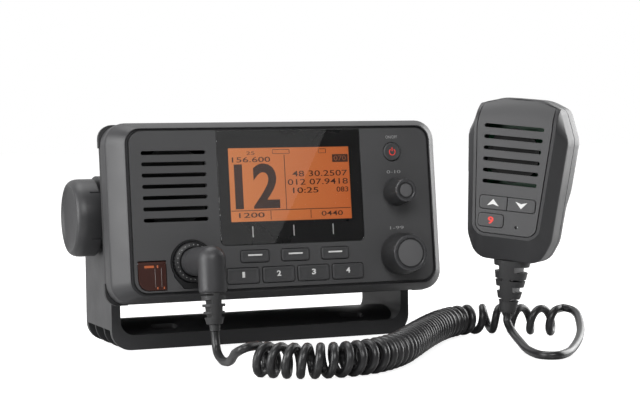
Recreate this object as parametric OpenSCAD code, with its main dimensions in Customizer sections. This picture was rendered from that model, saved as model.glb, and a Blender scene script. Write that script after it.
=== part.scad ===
// Fixed-mount VHF marine radio on its U-shaped stand, with a fist microphone on a curly cord.
// The row frame stands at the middle of the stand's underside: +X to the viewer's right,
// the radio's face towards -Y, +Z up. The radio leans back on its two clamp knobs.
// All sizes are in millimetres.

/* [Face] */
// Width of the front bezel
face_w = 170; // [160:1:190]
// Height of the front bezel
face_h = 85; // [82:1:96]
// How far the bezel's side slopes come in from its outer edge
bezel_slope_w = 7; // [4:0.5:8]
// How far the bezel's top and bottom slopes come in
bezel_slope_h = 3.4; // [2.6:0.2:4]
// Depth of the bezel's sloping front
bezel_slope_d = 9.4; // [6:0.2:11]
// Depth of the whole bezel behind the face panel
bezel_d = 19.2; // [15:0.2:20]
// Radius of the bezel's outer corners
bezel_corner_r = 10; // [6:0.5:12]
// Wall of the moulded plastic parts
plastic_wall = 2.6; // [2:0.1:3]
// Dark groove between the bezel and the face panel
panel_groove = 1.7; // [1:0.1:2]
// Thickness of the face panel
panel_t = 2.6; // [2:0.1:3]
// Radius of the face panel's corners
panel_corner_r = 6; // [4:0.5:8]

/* [Display] */
// Width of the display glass
glass_w = 73.7; // [70:0.1:76]
// Height of the display glass
glass_h = 54.6; // [50:0.1:55]
// Thickness of the display glass
glass_t = 1.2; // [0.8:0.1:1.6]
// Middle of the glass, to the right of the middle of the face
glass_u = 3.3; // [2:0.1:5]
// Width of the lit area of the screen
screen_w = 61.5; // [56:0.5:63]
// Height of the lit area of the screen
screen_h = 34.5; // [30:0.5:36]
// Height of the screen's middle above the middle of the face
screen_v = 11.4; // [10:0.1:12]
// Thickness of the display module
lcd_t = 5; // [4:0.5:6]

/* [Speaker] */
// Number of speaker slots
slot_count = 7; // [5:1:7]
// Length of one speaker slot
slot_w = 31.7; // [26:0.1:33]
// Height of one speaker slot
slot_h = 1.9; // [1.4:0.1:2.2]
// Distance from slot to slot
slot_pitch = 5.24; // [4.6:0.02:5.4]
// Middle of the speaker, to the left of the middle of the face
speaker_u = 54.85; // [54:0.05:55]
// Height of the speaker's middle above the middle of the face
speaker_v = 11.6; // [10:0.1:12]
// Radius of the speaker's frame
speaker_r = 18.5; // [16:0.5:19]
// Depth of the speaker
speaker_d = 15; // [10:0.5:17]

/* [Keys] */
// Width of a soft key under the glass
soft_key_w = 14.2; // [12:0.1:15]
// Height of a soft key
soft_key_h = 5.7; // [4:0.1:6]
// Distance from soft key to soft key
soft_key_pitch = 20.6; // [18:0.1:21]
// Width of a function key
function_key_w = 16.2; // [14:0.1:17]
// Height of a function key
function_key_h = 7.4; // [6:0.1:7.8]
// Distance from function key to function key
function_key_pitch = 17.9; // [17.5:0.1:18.3]
// Radius of the round power button
power_r = 4.5; // [3.5:0.1:5]
// How far the keys stand out of the face panel
key_proud = 0.8; // [0.6:0.1:1.4]
// Travel of the keys and buttons
key_travel = 0.5; // [0.3:0.1:0.6]
// Gap around each key
key_gap = 0.3; // [0.2:0.05:0.4]

/* [Rotary knobs] */
// Radius of the volume knob at its foot
volume_r = 6.9; // [6:0.1:8]
// Height of the volume knob
volume_h = 12; // [10:0.5:14]
// Radius of the select knob at its foot
select_r = 10.3; // [9:0.1:11]
// Height of the select knob
select_h = 12.5; // [10:0.5:14]
// Radius of the knobs' shafts
shaft_r = 3; // [2.5:0.1:3.2]

/* [Distress cover] */
// Width of the flip-up cover
cover_w = 13.3; // [12:0.1:14]
// Height of the flip-up cover
cover_h = 13.5; // [12:0.1:14]
// Thickness of the flip-up cover
cover_t = 1.4; // [1.3:0.1:1.6]
// Radius of the cover's hinge pin
cover_pin_r = 0.45; // [0.4:0.01:0.5]

/* [Rear housing] */
// Width of the cast housing between the stand's arms
housing_w = 144; // [140:0.5:144]
// Height of the cast housing
housing_h = 70; // [66:0.5:72]
// Depth of the cast housing behind the face panel, without its fins
housing_back = 118; // [110:1:124]
// How far each side of the case draws in by its back wall
housing_taper = 14; // [10:0.5:16]
// Depth where the case's sides start to draw in
housing_taper_d = 71; // [70:0.5:76]
// Depth of the cooling fins
fin_d = 8; // [4:0.5:10]
// Number of cooling fins
fin_count = 11; // [7:1:13]
// Thickness of the housing's front flange
flange_t = 2.6; // [2:0.1:3]
// Thickness of the rubber seal between bezel and housing
seal_t = 0.7; // [0.5:0.1:1]

/* [Stand] */
// Outer width of the U-shaped stand
stand_w = 157.2; // [156:0.2:162]
// Depth of the stand, front to back
stand_d = 49; // [44:0.5:50]
// Thickness of the stand's arms
arm_t = 4.4; // [3.5:0.1:4.4]
// Thickness of the stand's base at its front edge
base_t = 7.2; // [6:0.1:8]
// How far the middle of the base bulges above its front edge
base_crown = 5.8; // [3:0.1:6.5]
// Outer radius of the stand's two bottom corners
stand_corner_r = 9.7; // [8:0.1:12]
// Height of the knobs' axis above the surface
pivot_z = 63.5; // [62:0.5:70]
// Distance between the left and the right screw slots
mount_slot_x = 100; // [80:1:110]
// Distance between the front and the rear screw slots
mount_slot_y = 32; // [26:0.5:33]
// End-to-end length of a screw slot
mount_slot_l = 13; // [10:0.5:16]
// Width of a screw slot
mount_slot_w = 4.8; // [4:0.1:6]
// How far the radio leans back
rest_tilt = 5.75; // [0:0.25:8]

/* [Clamp knobs] */
// Radius of a clamp knob
clamp_r = 19; // [16:0.5:20]
// Length of a clamp knob
clamp_l = 12.6; // [10:0.2:16]
// Radius of the threaded stud in a clamp knob
stud_r = 4; // [3:0.5:4]
// Thickness of the washer under a clamp knob
washer_t = 1.2; // [0.8:0.1:2]

/* [Microphone plug] */
// Middle of the microphone socket, to the left of the middle of the face
socket_u = 48.2; // [48:0.1:48.6]
// Middle of the microphone socket, below the middle of the face
socket_v = 24.2; // [24:0.1:24.6]
// Radius of the socket's black ring
socket_r = 10.4; // [10:0.1:10.6]
// Radius of the right-angle plug
plug_r = 6.5; // [5.5:0.1:6.6]
// How far the plug's cord leg stands in front of the face panel
plug_reach = 28.5; // [24:0.5:30]
// Length of the plug's cord leg below its bend
plug_leg = 14.8; // [12:0.2:16]
// Length of the plug's slotted strain relief
relief_l = 17.3; // [17:0.1:18]

/* [Curly cord] */
// Diameter of the cord
cord_d = 3.9; // [3.4:0.1:4]
// Radius of the middle line of the curls
curl_r = 5.8; // [5.6:0.1:6.2]

/* [Handset] */
// Depth of the handset's sloping front
handset_slope_d = 9; // [7:0.5:10]
// Depth at which the handset's two shells meet
handset_split = 13; // [12:0.5:14]
// Depth of the handset's straight side
handset_side = 17.7; // [17:0.1:19]
// Depth of the whole handset body
handset_d = 29; // [27:0.5:31]
// Wall of the handset's shells
handset_wall = 2; // [1.6:0.1:2.4]
// Thickness of the handset's front plate
handset_panel_t = 1.8; // [1.5:0.1:2]
// Length of the handset's slotted strain relief
handset_relief_l = 26; // [25:0.1:27]
// Travel of the talk button
talk_travel = 1; // [0.6:0.1:1.2]

/* [Hidden] */
$fn = 48;

eps = 0.01;
fit = 0.25; // gap around a piece that sits in an opening
run_gap = 0.3; // gap between pieces that move past each other

// Places on the radio, which is drawn upright about its pivot: y runs back, z runs up
panel_ahead = 55.5; // the face panel's front stands this far ahead of the pivot
panel_drop = 1.2; // the middle of the face lies this far below the pivot
panel_w = face_w - 2 * bezel_slope_w - 2 * panel_groove - 0.3;
panel_h = face_h - 2 * bezel_slope_h - 2 * panel_groove + 0.3;
glass_top = panel_h / 2 - 0.1;
glass_v = glass_top - glass_h / 2;
flange_front = bezel_d + seal_t;
flange_back = flange_front + flange_t;
board_front = panel_t + lcd_t;
board_t = 1.6;
mat_t = 1.2;
key_back = 3.4;
screw_r = 1.5;
screw_u = face_w / 2 - 6.5;
screw_v = face_h / 2 - 6.5;
soft_key_u = 3.5;
soft_key_v = glass_v - glass_h / 2 - 5.5;
function_key_u = 3.45;
function_key_v = soft_key_v - 9.05;
power_u = 57.2;
power_v = 25.9;
volume_u = 58;
volume_v = 5.9;
select_u = 58.4;
select_v = -24.6;
cover_u = -panel_w / 2 + 1.7 + cover_w / 2;
cover_v = -panel_h / 2 + 1 + cover_h / 2;
cover_hinge_v = cover_v + cover_h / 2 - 0.9;
cover_hinge_d = cover_t / 2 - 0.2;
arm_drop = 4.2; // the arms' round tops are centred this far below the pivot
arm_gap = stand_w / 2 - arm_t; // from the middle to an arm's inner face
pad_t = arm_gap - housing_w / 2 - run_gap;
boss_r = 9;
insert_r = 6;
insert_l = 12;
antenna_u = -45;
antenna_v = 6;
antenna_thread_r = 7.9;
antenna_thread_l = 14;
power_in_u = 50;
power_in_v = 6;
power_in_r = 6;
power_in_l = 11;
power_in_floor = 5;

// Places on the handset, which is drawn upright: z runs up, y runs back from its front plate
handset_at = [99.7, -95.8, 84.2];
handset_yaw = 48;
handset_lean = 6;
handset_axis_y = 15;
handset_bottom = -44.4;
handset_slots = 6;
handset_slot_pitch = 5.35;
handset_key_w = 28.2;
handset_key_h = 6.4;
handset_key_z = -16.4;
quick_key_x = -7.6;
quick_key_z = -25;
handset_mic_x = 5.5;
handset_mic_z = -27.2;
handset_cap_back = handset_panel_t - 0.6;
handset_stem_back = handset_panel_t + 1;

// The cord's route, chosen by hand. Each station of the curls: x, y and curls to the next one
coil_stations = [
    [-46, -138, 2.4], [-37, -148, 2.2], [-26, -154.5, 2.5], [-12, -156, 2.9], [4, -150.5, 3.9],
    [20, -137, 4.4], [34, -119, 4.8], [48, -100, 5], [63, -80.5, 4.4], [77.5, -63.5, 3],
    [90.5, -52, 1.7], [102, -47.5, 1.3], [113.5, -49.5, 1.4], [124.5, -58.5, 2.1], [137, -75, 0]
];
lead_points = [
    [-48.5, -93, 5.5], [-49.5, -103, 3.2], [-51, -115, 4.2], [-53.5, -127, 7], [-55, -136, 10.5],
    [-54, -142.5, 13]
];
end_points = [
    [141.2, -74.2, 14], [143.8, -77.4, 13.2], [143.2, -83.6, 11.5], [138.4, -94, 8.9],
    [130.5, -107.7, 6.2], [118.7, -124.4, 4], [105.5, -140.4, 2.4], [97.6, -148, 2.1],
    [91.6, -151.4, 2.1], [87.2, -148.9, 2.1], [86.4, -142.2, 2.1], [90.4, -126.6, 2.2],
    [98.4, -106, 2.9], [103.9, -90.5, 4.3], [105.4, -83.4, 6.9]
];
curl_rings = 8;
curl_sides = 6;
cord_sides = 8;
cord_step = 6;

// ---------- outlines ----------

function unit(v) = v / norm(v);

// Points that round the corner at b, coming from a and going to c
function rounded_corner(a, b, c, r, steps) =
    let (to_a = unit(a - b), to_c = unit(c - b),
         half = acos(to_a * to_c) / 2,
         mid = b + unit(to_a + to_c) * r / sin(half),
         from = b + to_a * r / tan(half) - mid,
         turn = sign(cross(b - a, c - b)) * (180 - 2 * half),
         start = atan2(from[1], from[0]))
    [for (i = [0:steps]) mid + r * [cos(start + turn * i / steps), sin(start + turn * i / steps)]];

// Closed outline through corners [x, y, radius]
function outline(corners, steps = 5) =
    let (n = len(corners))
    [for (i = [0:n - 1])
        let (a = corners[(i + n - 1) % n], b = corners[i], c = corners[(i + 1) % n])
        each rounded_corner([a[0], a[1]], [b[0], b[1]], [c[0], c[1]], b[2], steps)];

// The same corners, given for the right half, on both sides of the middle line
function both_sides(right) =
    concat(right, [for (i = [len(right) - 1:-1:0]) [-right[i][0], right[i][1], right[i][2]]]);

// Corners moved outwards by d, counted from the point at height z0 on the middle line
function grown(corners, d, z0 = 0) =
    [for (c = corners) [c[0] + d * sign(c[0]), c[1] + d * sign(c[1] - z0), max(c[2] + d, 0.5)]];

module rounded_rect(w, h, r, steps = 5) {
    polygon(outline([[w / 2, -h / 2, r], [w / 2, h / 2, r], [-w / 2, h / 2, r], [-w / 2, -h / 2, r]],
                    steps));
}

// Stadium lying along X
module stadium(w, h) {
    square([w - h, h], center = true);
    for (s = [-1, 1]) translate([s * (w - h) / 2, 0]) circle(d = h, $fn = 24);
}

// ---------- frames ----------

// The radio at its rest lean on the stand's pivot
module on_radio() {
    translate([0, 0, pivot_z]) rotate([-rest_tilt, 0, 0]) children();
}

// A flat shape in the plane of the face, between two depths behind the face panel's front
module face_slab(from, to) {
    translate([0, to - panel_ahead, -panel_drop]) rotate([90, 0, 0])
        linear_extrude(to - from) children();
}

// A turned shape whose axis points out of the face at (u, v); its z = 0 lies at the given depth
module face_turned(u, v, depth = 0) {
    translate([u, depth - panel_ahead, v - panel_drop]) rotate([90, 0, 0]) children();
}

// The handset as it stands in the picture
module on_handset() {
    translate(handset_at) rotate([0, handset_lean, -handset_yaw]) children();
}

// A flat shape in the plane of the handset's front plate, between two depths
module handset_slab(from, to) {
    translate([0, to, 0]) rotate([90, 0, 0]) linear_extrude(to - from) children();
}

// ---------- cord geometry ----------

function spline_point(p, i, t) =
    let (a = p[max(i - 1, 0)], b = p[i], c = p[i + 1], d = p[min(i + 2, len(p) - 1)])
    0.5 * (2 * b + (c - a) * t + (2 * a - 5 * b + 4 * c - d) * t * t
           + (3 * b - a - 3 * c + d) * t * t * t);

// Smooth line through points, with a ring about every step millimetres
function smooth_line(p, step) =
    [for (i = [0:len(p) - 2])
        let (n = max(1, round(norm(p[i + 1] - p[i]) / step)))
        for (k = [0:n - 1]) spline_point(p, i, k / n),
     p[len(p) - 1]];

// Places given on the radio or on the handset, in the row frame
function radio_point(p) =
    [p[0], p[1] * cos(rest_tilt) + p[2] * sin(rest_tilt),
     pivot_z - p[1] * sin(rest_tilt) + p[2] * cos(rest_tilt)];
function turned_z(p, a) = [p[0] * cos(a) - p[1] * sin(a), p[0] * sin(a) + p[1] * cos(a), p[2]];
function turned_y(p, a) = [p[0] * cos(a) + p[2] * sin(a), p[1], p[2] * cos(a) - p[0] * sin(a)];
function handset_point(p) = handset_at + turned_z(turned_y(p, handset_lean), -handset_yaw);

coil_z = curl_r + cord_d / 2;
coil_axis = [for (s = coil_stations) [s[0], s[1], coil_z]];
curls_before = [for (i = 0, sum = 0; i < len(coil_stations); sum = sum + coil_stations[i][2],
                     i = i + 1) sum];
curls = curls_before[len(curls_before) - 1];

// Point of the curls' middle line after c curls; the curls wind left-handed from their top
function curl_point(c) =
    let (i = max([for (k = [0:len(coil_axis) - 2]) if (curls_before[k] <= c + eps) k]),
         t = (c - curls_before[i]) / coil_stations[i][2],
         ahead = unit(spline_point(coil_axis, i, t + eps) - spline_point(coil_axis, i, t - eps)),
         side = [-ahead[1], ahead[0], 0])
    spline_point(coil_axis, i, t) + curl_r * (cos(360 * c) * [0, 0, 1] + sin(360 * c) * side);

helix = [for (k = [0:round(curls * curl_rings)]) curl_point(k / curl_rings)];
helix_last = len(helix) - 1;
curl_eps = 0.01;
start_dir = unit(curl_point(curl_eps) - curl_point(0));
end_dir = unit(curl_point(curls) - curl_point(curls - curl_eps));
curly_line = concat([helix[0] - cord_d * start_dir], helix, [helix[helix_last] + cord_d * end_dir]);

relief_tip = radio_point([-socket_u, -panel_ahead - plug_reach,
                          -panel_drop - socket_v - plug_leg - relief_l]);
relief_dir = radio_point([0, 0, -1]) - radio_point([0, 0, 0]);
lead_line = smooth_line(concat([relief_tip, relief_tip + cord_d * relief_dir], lead_points,
                               [curly_line[0] - 0.5 * cord_d * start_dir, curly_line[0]]), cord_step);

handset_tip = handset_point([0, handset_axis_y, handset_bottom - handset_relief_l]);
handset_tip_dir = unit(handset_point([0, 0, -1]) - handset_point([0, 0, 0]));
curly_end = curly_line[len(curly_line) - 1];
end_line = smooth_line(concat([curly_end, curly_end + 0.5 * cord_d * end_dir], end_points,
                              [handset_tip + cord_d * handset_tip_dir, handset_tip]), cord_step);

// The least gap between one curl and the next, on the points of the middle line
least_gap = min([for (i = [0:helix_last]) for (j = [i + 6:1:min(i + 2 * curl_rings, helix_last)])
                 norm(helix[i] - helix[j])]) - cord_d;
echo(curls = curls, least_gap = least_gap);

// One direction square to the line at each ring, carried along without twist
function ring_dirs(line, dirs) =
    [for (i = 0, u = unit(cross(dirs[0], [0.3, 0.2, 1])); i < len(line);
          i = i + 1, u = i < len(line) ? unit(u - (u * dirs[i]) * dirs[i]) : u) u];

// A tube along a line, with its end faces square to the given directions
module cord_tube(line, first_dir, last_dir, sides) {
    n = len(line);
    dirs = [for (i = [0:n - 1])
            i == 0 ? first_dir : i == n - 1 ? last_dir : unit(line[i + 1] - line[i - 1])];
    us = ring_dirs(line, dirs);
    points = [for (i = [0:n - 1]) for (k = [0:sides - 1])
              let (v = cross(dirs[i], us[i]), a = 360 * k / sides)
              line[i] + cord_d / 2 * (cos(a) * us[i] + sin(a) * v)];
    walls = [for (i = [0:n - 2]) for (k = [0:sides - 1])
             let (a = i * sides + k, b = i * sides + (k + 1) % sides)
             each [[a, b + sides, b], [a, a + sides, b + sides]]];
    caps = [for (k = [1:sides - 2])
            each [[0, k, k + 1], [(n - 1) * sides, (n - 1) * sides + k + 1, (n - 1) * sides + k]]];
    polyhedron(points, concat(walls, caps), convexity = 10);
}

// ---------- stand ----------

module bracket() {
    inner_r = 7;
    skin = 3;
    rib_y = [-stand_d / 2 + 3.5, -stand_d / 6 - 0.8, stand_d / 6 - 0.8, stand_d / 2 - 2];
    arm_mid = pivot_z - arm_drop;
    arm_top = arm_mid + stand_d / 2;
    module gap_2d(extra = 0) {
        w = arm_gap + extra;
        polygon(concat([[w, arm_top + 1], [-w, arm_top + 1]],
                       rounded_corner([-w, arm_top], [-w, base_t - extra], [w, base_t - extra],
                                      inner_r + extra, 8),
                       rounded_corner([-w, base_t - extra], [w, base_t - extra], [w, arm_top],
                                      inner_r + extra, 8)));
    }
    module outside_2d() {
        w = stand_w / 2;
        polygon(concat([[w, arm_top], [-w, arm_top]],
                       rounded_corner([-w, arm_top], [-w, 0], [w, 0], stand_corner_r, 8),
                       rounded_corner([-w, 0], [w, 0], [w, arm_top], stand_corner_r, 8)));
    }
    crown_half = stand_d / 2 - 3.5;
    crown_r = (crown_half * crown_half + base_crown * base_crown) / (2 * base_crown);
    color([0.2, 0.2, 0.21]) difference() {
        union() {
            intersection() {
                translate([0, stand_d / 2, 0]) rotate([90, 0, 0]) linear_extrude(stand_d)
                    difference() {
                        outside_2d();
                        gap_2d();
                    }
                translate([-stand_w, 0, 0]) rotate([90, 0, 90]) linear_extrude(2 * stand_w) {
                    translate([-stand_d / 2, 0]) square([stand_d, arm_mid]);
                    translate([0, arm_mid]) circle(r = stand_d / 2, $fn = 96);
                }
            }
            intersection() {
                translate([-arm_gap - eps, 0, base_t + base_crown - crown_r]) rotate([0, 90, 0])
                    cylinder(r = crown_r, h = 2 * arm_gap + 2 * eps, $fn = 96);
                translate([-arm_gap - eps, -crown_half, base_t - 1])
                    cube([2 * arm_gap + 2 * eps, 2 * crown_half, base_crown + 2]);
            }
        }
        // three channels under the base, open at its rounded corners
        for (i = [0:2]) translate([0, rib_y[i + 1] - 1.2, 0]) rotate([90, 0, 0])
            linear_extrude(rib_y[i + 1] - rib_y[i] - 1.2) difference() {
                translate([-stand_w, -1]) square([2 * stand_w, stand_corner_r + 1]);
                gap_2d(skin);
                if (i == 1) square([24, 2 * base_t], center = true);
            }
        for (sx = [-1, 1]) for (sy = [-1, 1])
            translate([sx * mount_slot_x / 2, sy * mount_slot_y / 2, -1])
                linear_extrude(base_t + base_crown + 3) stadium(mount_slot_l, mount_slot_w);
        translate([-stand_w, 0, pivot_z]) rotate([0, 90, 0])
            cylinder(r = stud_r + 0.5, h = 2 * stand_w);
    }
}

// A piece turned about the knobs' axis: z = 0 on the arm's outer face, z out to the given side
module on_arm(side) {
    translate([side * stand_w / 2, 0, pivot_z]) rotate([0, side * 90, 0]) children();
}

module clamp_washer(side) {
    color([0.62, 0.63, 0.65]) on_arm(side) rotate_extrude()
        translate([stud_r + run_gap, 0.05]) square([clamp_r - 8 - stud_r, washer_t]);
}

module clamp_knob(side) {
    foot = washer_t + 0.15;
    rim = clamp_r - 2.6;
    grooves = 40;
    color([0.13, 0.13, 0.14]) on_arm(side) difference() {
        rotate_extrude($fn = 96) polygon([
            [stud_r + 0.02, foot], [clamp_r - 1, foot], [clamp_r, foot + 1], [clamp_r, foot + clamp_l - 5],
            [clamp_r - 0.6, foot + clamp_l - 2.4], [rim, foot + clamp_l], [rim - 1.4, foot + clamp_l],
            [rim - 2.6, foot + clamp_l - 1.8], [rim - 8, foot + clamp_l - 2.6],
            [0, foot + clamp_l - 3], [0, foot + clamp_l - 5], [stud_r + 0.02, foot + clamp_l - 5]
        ]);
        for (i = [0:3]) rotate(90 * i + 40) translate([clamp_r, 0, foot + 2.5])
            cube([0.8, 1.2, 2 * (clamp_l - 8)], center = true);
        rotate(grooves) translate([clamp_r, 0, foot + 2.5])
            cube([0.8, 1.2, 2 * (clamp_l - 8)], center = true);
    }
}

module clamp_stud(side) {
    foot = washer_t + 0.15;
    reach = arm_t + pad_t + run_gap + insert_l - 2;
    color([0.72, 0.73, 0.75]) on_arm(side) translate([0, 0, -reach])
        cylinder(r = stud_r, h = reach + foot + clamp_l - 5.02);
}

// ---------- radio front ----------

module front_bezel() {
    wall = plastic_wall;
    front_w = face_w - 2 * bezel_slope_w;
    front_h = face_h - 2 * bezel_slope_h;
    front_r = bezel_corner_r - 2.5;
    cavity_w = face_w - 2 * wall;
    cavity_h = face_h - 2 * wall;
    lip = 0.6;
    seat_w = panel_w + 2 * panel_groove;
    seat_h = panel_h + 2 * panel_groove - 0.9;
    color([0.15, 0.15, 0.16]) on_radio() difference() {
        union() {
            difference() {
                hull() {
                    face_slab(lip, lip + 1) rounded_rect(front_w, front_h, front_r, 6);
                    face_slab(bezel_slope_d, bezel_d) rounded_rect(face_w, face_h, bezel_corner_r, 8);
                }
                hull() {
                    face_slab(lip + wall, lip + wall + 1)
                        rounded_rect(front_w - wall, front_h - wall, front_r - 1, 6);
                    face_slab(bezel_slope_d + 1, bezel_d + 1)
                        rounded_rect(cavity_w, cavity_h, bezel_corner_r - wall, 8);
                }
            }
            // the seat that carries the face panel, and the bosses for the housing's screws
            face_slab(lip + 0.5, panel_t + 3) rounded_rect(seat_w + 1.2, seat_h + 1.2, panel_corner_r + 1);
            for (su = [-1, 1]) for (sv = [-1, 1])
                face_turned(su * screw_u, sv * screw_v, bezel_d)
                    cylinder(r = screw_r + 2, h = bezel_d - bezel_slope_d + 1);
        }
        face_slab(-2, panel_t) rounded_rect(panel_w + 0.4, panel_h + 0.4, panel_corner_r);
        face_slab(-2, panel_t - 1) rounded_rect(seat_w - 0.4, seat_h - 0.4, panel_corner_r + 0.6);
        face_slab(0, panel_t + 4) rounded_rect(panel_w - 4, panel_h - 4, panel_corner_r - 2);
        for (su = [-1, 1]) for (sv = [-1, 1])
            face_turned(su * screw_u, sv * screw_v, bezel_d + 1)
                cylinder(r = screw_r + 0.05, h = bezel_d - bezel_slope_d);
    }
}

// The socket's outline: a ring on a foot with slanting corners
module socket_2d(extra = 0) {
    r = socket_r + extra;
    foot_v = 12 + extra;
    translate([-socket_u, -socket_v]) {
        circle(r = r, $fn = 64);
        polygon([[-r * 0.87, -r * 0.5], [-8.8 - extra, -6.8], [-4.4 - extra / 2, -foot_v],
                 [4.4 + extra / 2, -foot_v], [8.8 + extra, -6.8], [r * 0.87, -r * 0.5]]);
    }
}

module cover_2d(extra = 0) {
    left = cover_u - cover_w / 2 - extra;
    right = cover_u + cover_w / 2 + extra;
    bottom = cover_v - cover_h / 2 - extra;
    top = cover_v + cover_h / 2 + extra;
    polygon(outline([[right, bottom, 0.5], [right, top, 0.5], [left, top, 0.5],
                     [left, bottom, panel_corner_r - 1]], 4));
}

function soft_key_place(i) = [soft_key_u + (i - 2) * soft_key_pitch, soft_key_v];
function function_key_place(i) = [function_key_u + (i - 2.5) * function_key_pitch, function_key_v];

module soft_key_2d(extra = 0) {
    rounded_rect(soft_key_w + 2 * extra, soft_key_h + 2 * extra, 1.2 + extra, 4);
}

module function_key_2d(extra = 0) {
    rounded_rect(function_key_w + 2 * extra, function_key_h + 2 * extra, 1.2 + extra, 4);
}

module front_panel() {
    color([0.29, 0.29, 0.3]) on_radio() difference() {
        face_slab(0, panel_t) difference() {
            rounded_rect(panel_w, panel_h, panel_corner_r, 6);
            translate([glass_u, screen_v]) square([screen_w + 1.5, screen_h + 1.5], center = true);
            for (i = [0:slot_count - 1])
                translate([-speaker_u, speaker_v + (i - (slot_count - 1) / 2) * slot_pitch])
                    stadium(slot_w, slot_h);
            socket_2d(fit);
            cover_2d(run_gap);
            for (i = [1:3]) translate(soft_key_place(i)) soft_key_2d(key_gap);
            for (i = [1:4]) translate(function_key_place(i)) function_key_2d(key_gap);
            translate([power_u, power_v]) circle(r = power_r + key_gap);
            translate([volume_u, volume_v]) circle(r = shaft_r + 1);
            translate([select_u, select_v]) circle(r = shaft_r + 1);
        }
        face_slab(-1, glass_t + 0.02) translate([glass_u, glass_v])
            glass_2d(0.15);
        translate([cover_u - cover_w / 2 - 1.3, cover_hinge_d - panel_ahead, cover_hinge_v - panel_drop])
            rotate([0, 90, 0]) cylinder(r = cover_pin_r, h = cover_w + 2.6, $fn = 24);
    }
}

module glass_2d(extra = 0) {
    w = glass_w / 2 + extra;
    h = glass_h / 2 + extra;
    polygon(outline([[w, -h, 2.6], [w, h + 2 * extra, 0.3], [-w, h + 2 * extra, 0.3], [-w, -h, 2.6]], 4));
}

module display_glass() {
    color([0.07, 0.07, 0.08, 0.5]) on_radio() face_slab(0, glass_t)
        translate([glass_u, glass_v]) glass_2d();
}

module lcd_module() {
    color([0.85, 0.42, 0.18]) on_radio() {
        face_slab(glass_t + 0.3, panel_t + 0.1) translate([glass_u, screen_v])
            square([screen_w, screen_h], center = true);
        face_slab(panel_t + 0.05, board_front) translate([glass_u, screen_v])
            square([screen_w + 5, screen_h + 5], center = true);
    }
}

module speaker() {
    color([0.1, 0.1, 0.1]) on_radio() face_turned(-speaker_u, speaker_v, panel_t + 0.1)
        mirror([0, 0, 1]) rotate_extrude() polygon([
            [0, 4], [speaker_r * 0.8, 1], [speaker_r, 0], [speaker_r, 2], [speaker_r * 0.85, 3],
            [speaker_r * 0.55, speaker_d * 0.6], [speaker_r * 0.55, speaker_d], [0, speaker_d]
        ]);
}

// A piece of the radio's front that is pushed straight in, between two depths
module pushed_piece(from = -key_proud, to = key_back) {
    face_slab(from, to) children();
}

module soft_key(i) {
    color([0.22, 0.22, 0.23]) on_radio() pushed_piece() translate(soft_key_place(i)) soft_key_2d();
}

module function_key(i) {
    color([0.22, 0.22, 0.23]) on_radio() pushed_piece() translate(function_key_place(i))
        function_key_2d();
}

module power_button() {
    color([0.3, 0.08, 0.07]) on_radio() face_turned(power_u, power_v, key_back)
        rotate_extrude() polygon([[0, 0], [power_r, 0], [power_r, key_back + key_proud - 0.7],
                                  [power_r - 0.7, key_back + key_proud], [0, key_back + key_proud - 0.2]]);
}

module distress_button() {
    color([0.7, 0.1, 0.08]) on_radio() pushed_piece(cover_t + 0.7, key_back + 0.6)
        translate([cover_u, cover_v - 0.9]) rounded_rect(cover_w - 4.2, cover_h - 6, 1.5, 4);
}

// Flip-up cover with the knuckle that turns on its pin
module distress_cover() {
    knuckle_r = cover_t / 2 + 0.1;
    color([0.36, 0.16, 0.12, 0.8]) on_radio() difference() {
        union() {
            face_slab(-0.2, cover_t - 0.2) intersection() {
                cover_2d();
                translate([-face_w, -face_h]) square([2 * face_w, face_h + cover_hinge_v]);
            }
            translate([cover_u - cover_w / 2, cover_hinge_d - panel_ahead, cover_hinge_v - panel_drop])
                rotate([0, 90, 0]) cylinder(r = knuckle_r, h = cover_w, $fn = 32);
        }
        translate([cover_u - cover_w, cover_hinge_d - panel_ahead, cover_hinge_v - panel_drop])
            rotate([0, 90, 0]) cylinder(r = cover_pin_r + 0.08, h = 2 * cover_w, $fn = 24);
    }
}

module cover_pin() {
    color([0.7, 0.7, 0.72]) on_radio()
        translate([cover_u - cover_w / 2 - 1.2, cover_hinge_d - panel_ahead, cover_hinge_v - panel_drop])
            rotate([0, 90, 0]) cylinder(r = cover_pin_r - 0.01, h = cover_w + 2.4, $fn = 24);
}

// ---------- rotary knobs ----------

module encoder(u, v, size) {
    color([0.5, 0.52, 0.55]) on_radio() difference() {
        union() {
            face_slab(panel_t + 1, board_front) translate([u, v]) square([size, size], center = true);
            face_turned(u, v, panel_t + 1) cylinder(r = shaft_r + 0.8, h = 1.4);
        }
        face_turned(u, v, board_front - 0.8) cylinder(r = shaft_r + 0.06, h = board_front + 4);
    }
}

module knob_shaft(u, v, h) {
    color([0.7, 0.71, 0.73]) on_radio() face_turned(u, v, board_front - 0.8 - key_travel - 0.2)
        cylinder(r = shaft_r, h = board_front - 0.8 - key_travel - 0.2 + key_proud + h - 3);
}

// Knob with a wide foot, a narrower cap and a shallow dish in its top
module rotary_knob(u, v, r, h) {
    cap = r * 0.83;
    color([0.2, 0.2, 0.21]) on_radio() face_turned(u, v, -key_proud) rotate_extrude($fn = 72)
        polygon([
            [shaft_r + 0.06, 0], [r - 0.6, 0], [r, 0.8], [r - 0.5, h * 0.35], [cap + 0.3, h * 0.55],
            [cap, h - 1], [cap - 1, h], [cap - 2, h], [cap - 2.7, h - 0.9], [0, h - 1.3],
            [0, h - 2.8], [shaft_r + 0.06, h - 2.8]
        ]);
}

module volume_encoder() {
    encoder(volume_u, volume_v, 12);
}

module volume_shaft() {
    knob_shaft(volume_u, volume_v, volume_h);
}

module volume_knob() {
    rotary_knob(volume_u, volume_v, volume_r, volume_h);
}

module select_encoder() {
    encoder(select_u, select_v, 14);
}

module select_shaft() {
    knob_shaft(select_u, select_v, select_h);
}

module select_knob() {
    rotary_knob(select_u, select_v, select_r, select_h);
}

// ---------- radio inside and rear ----------

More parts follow.
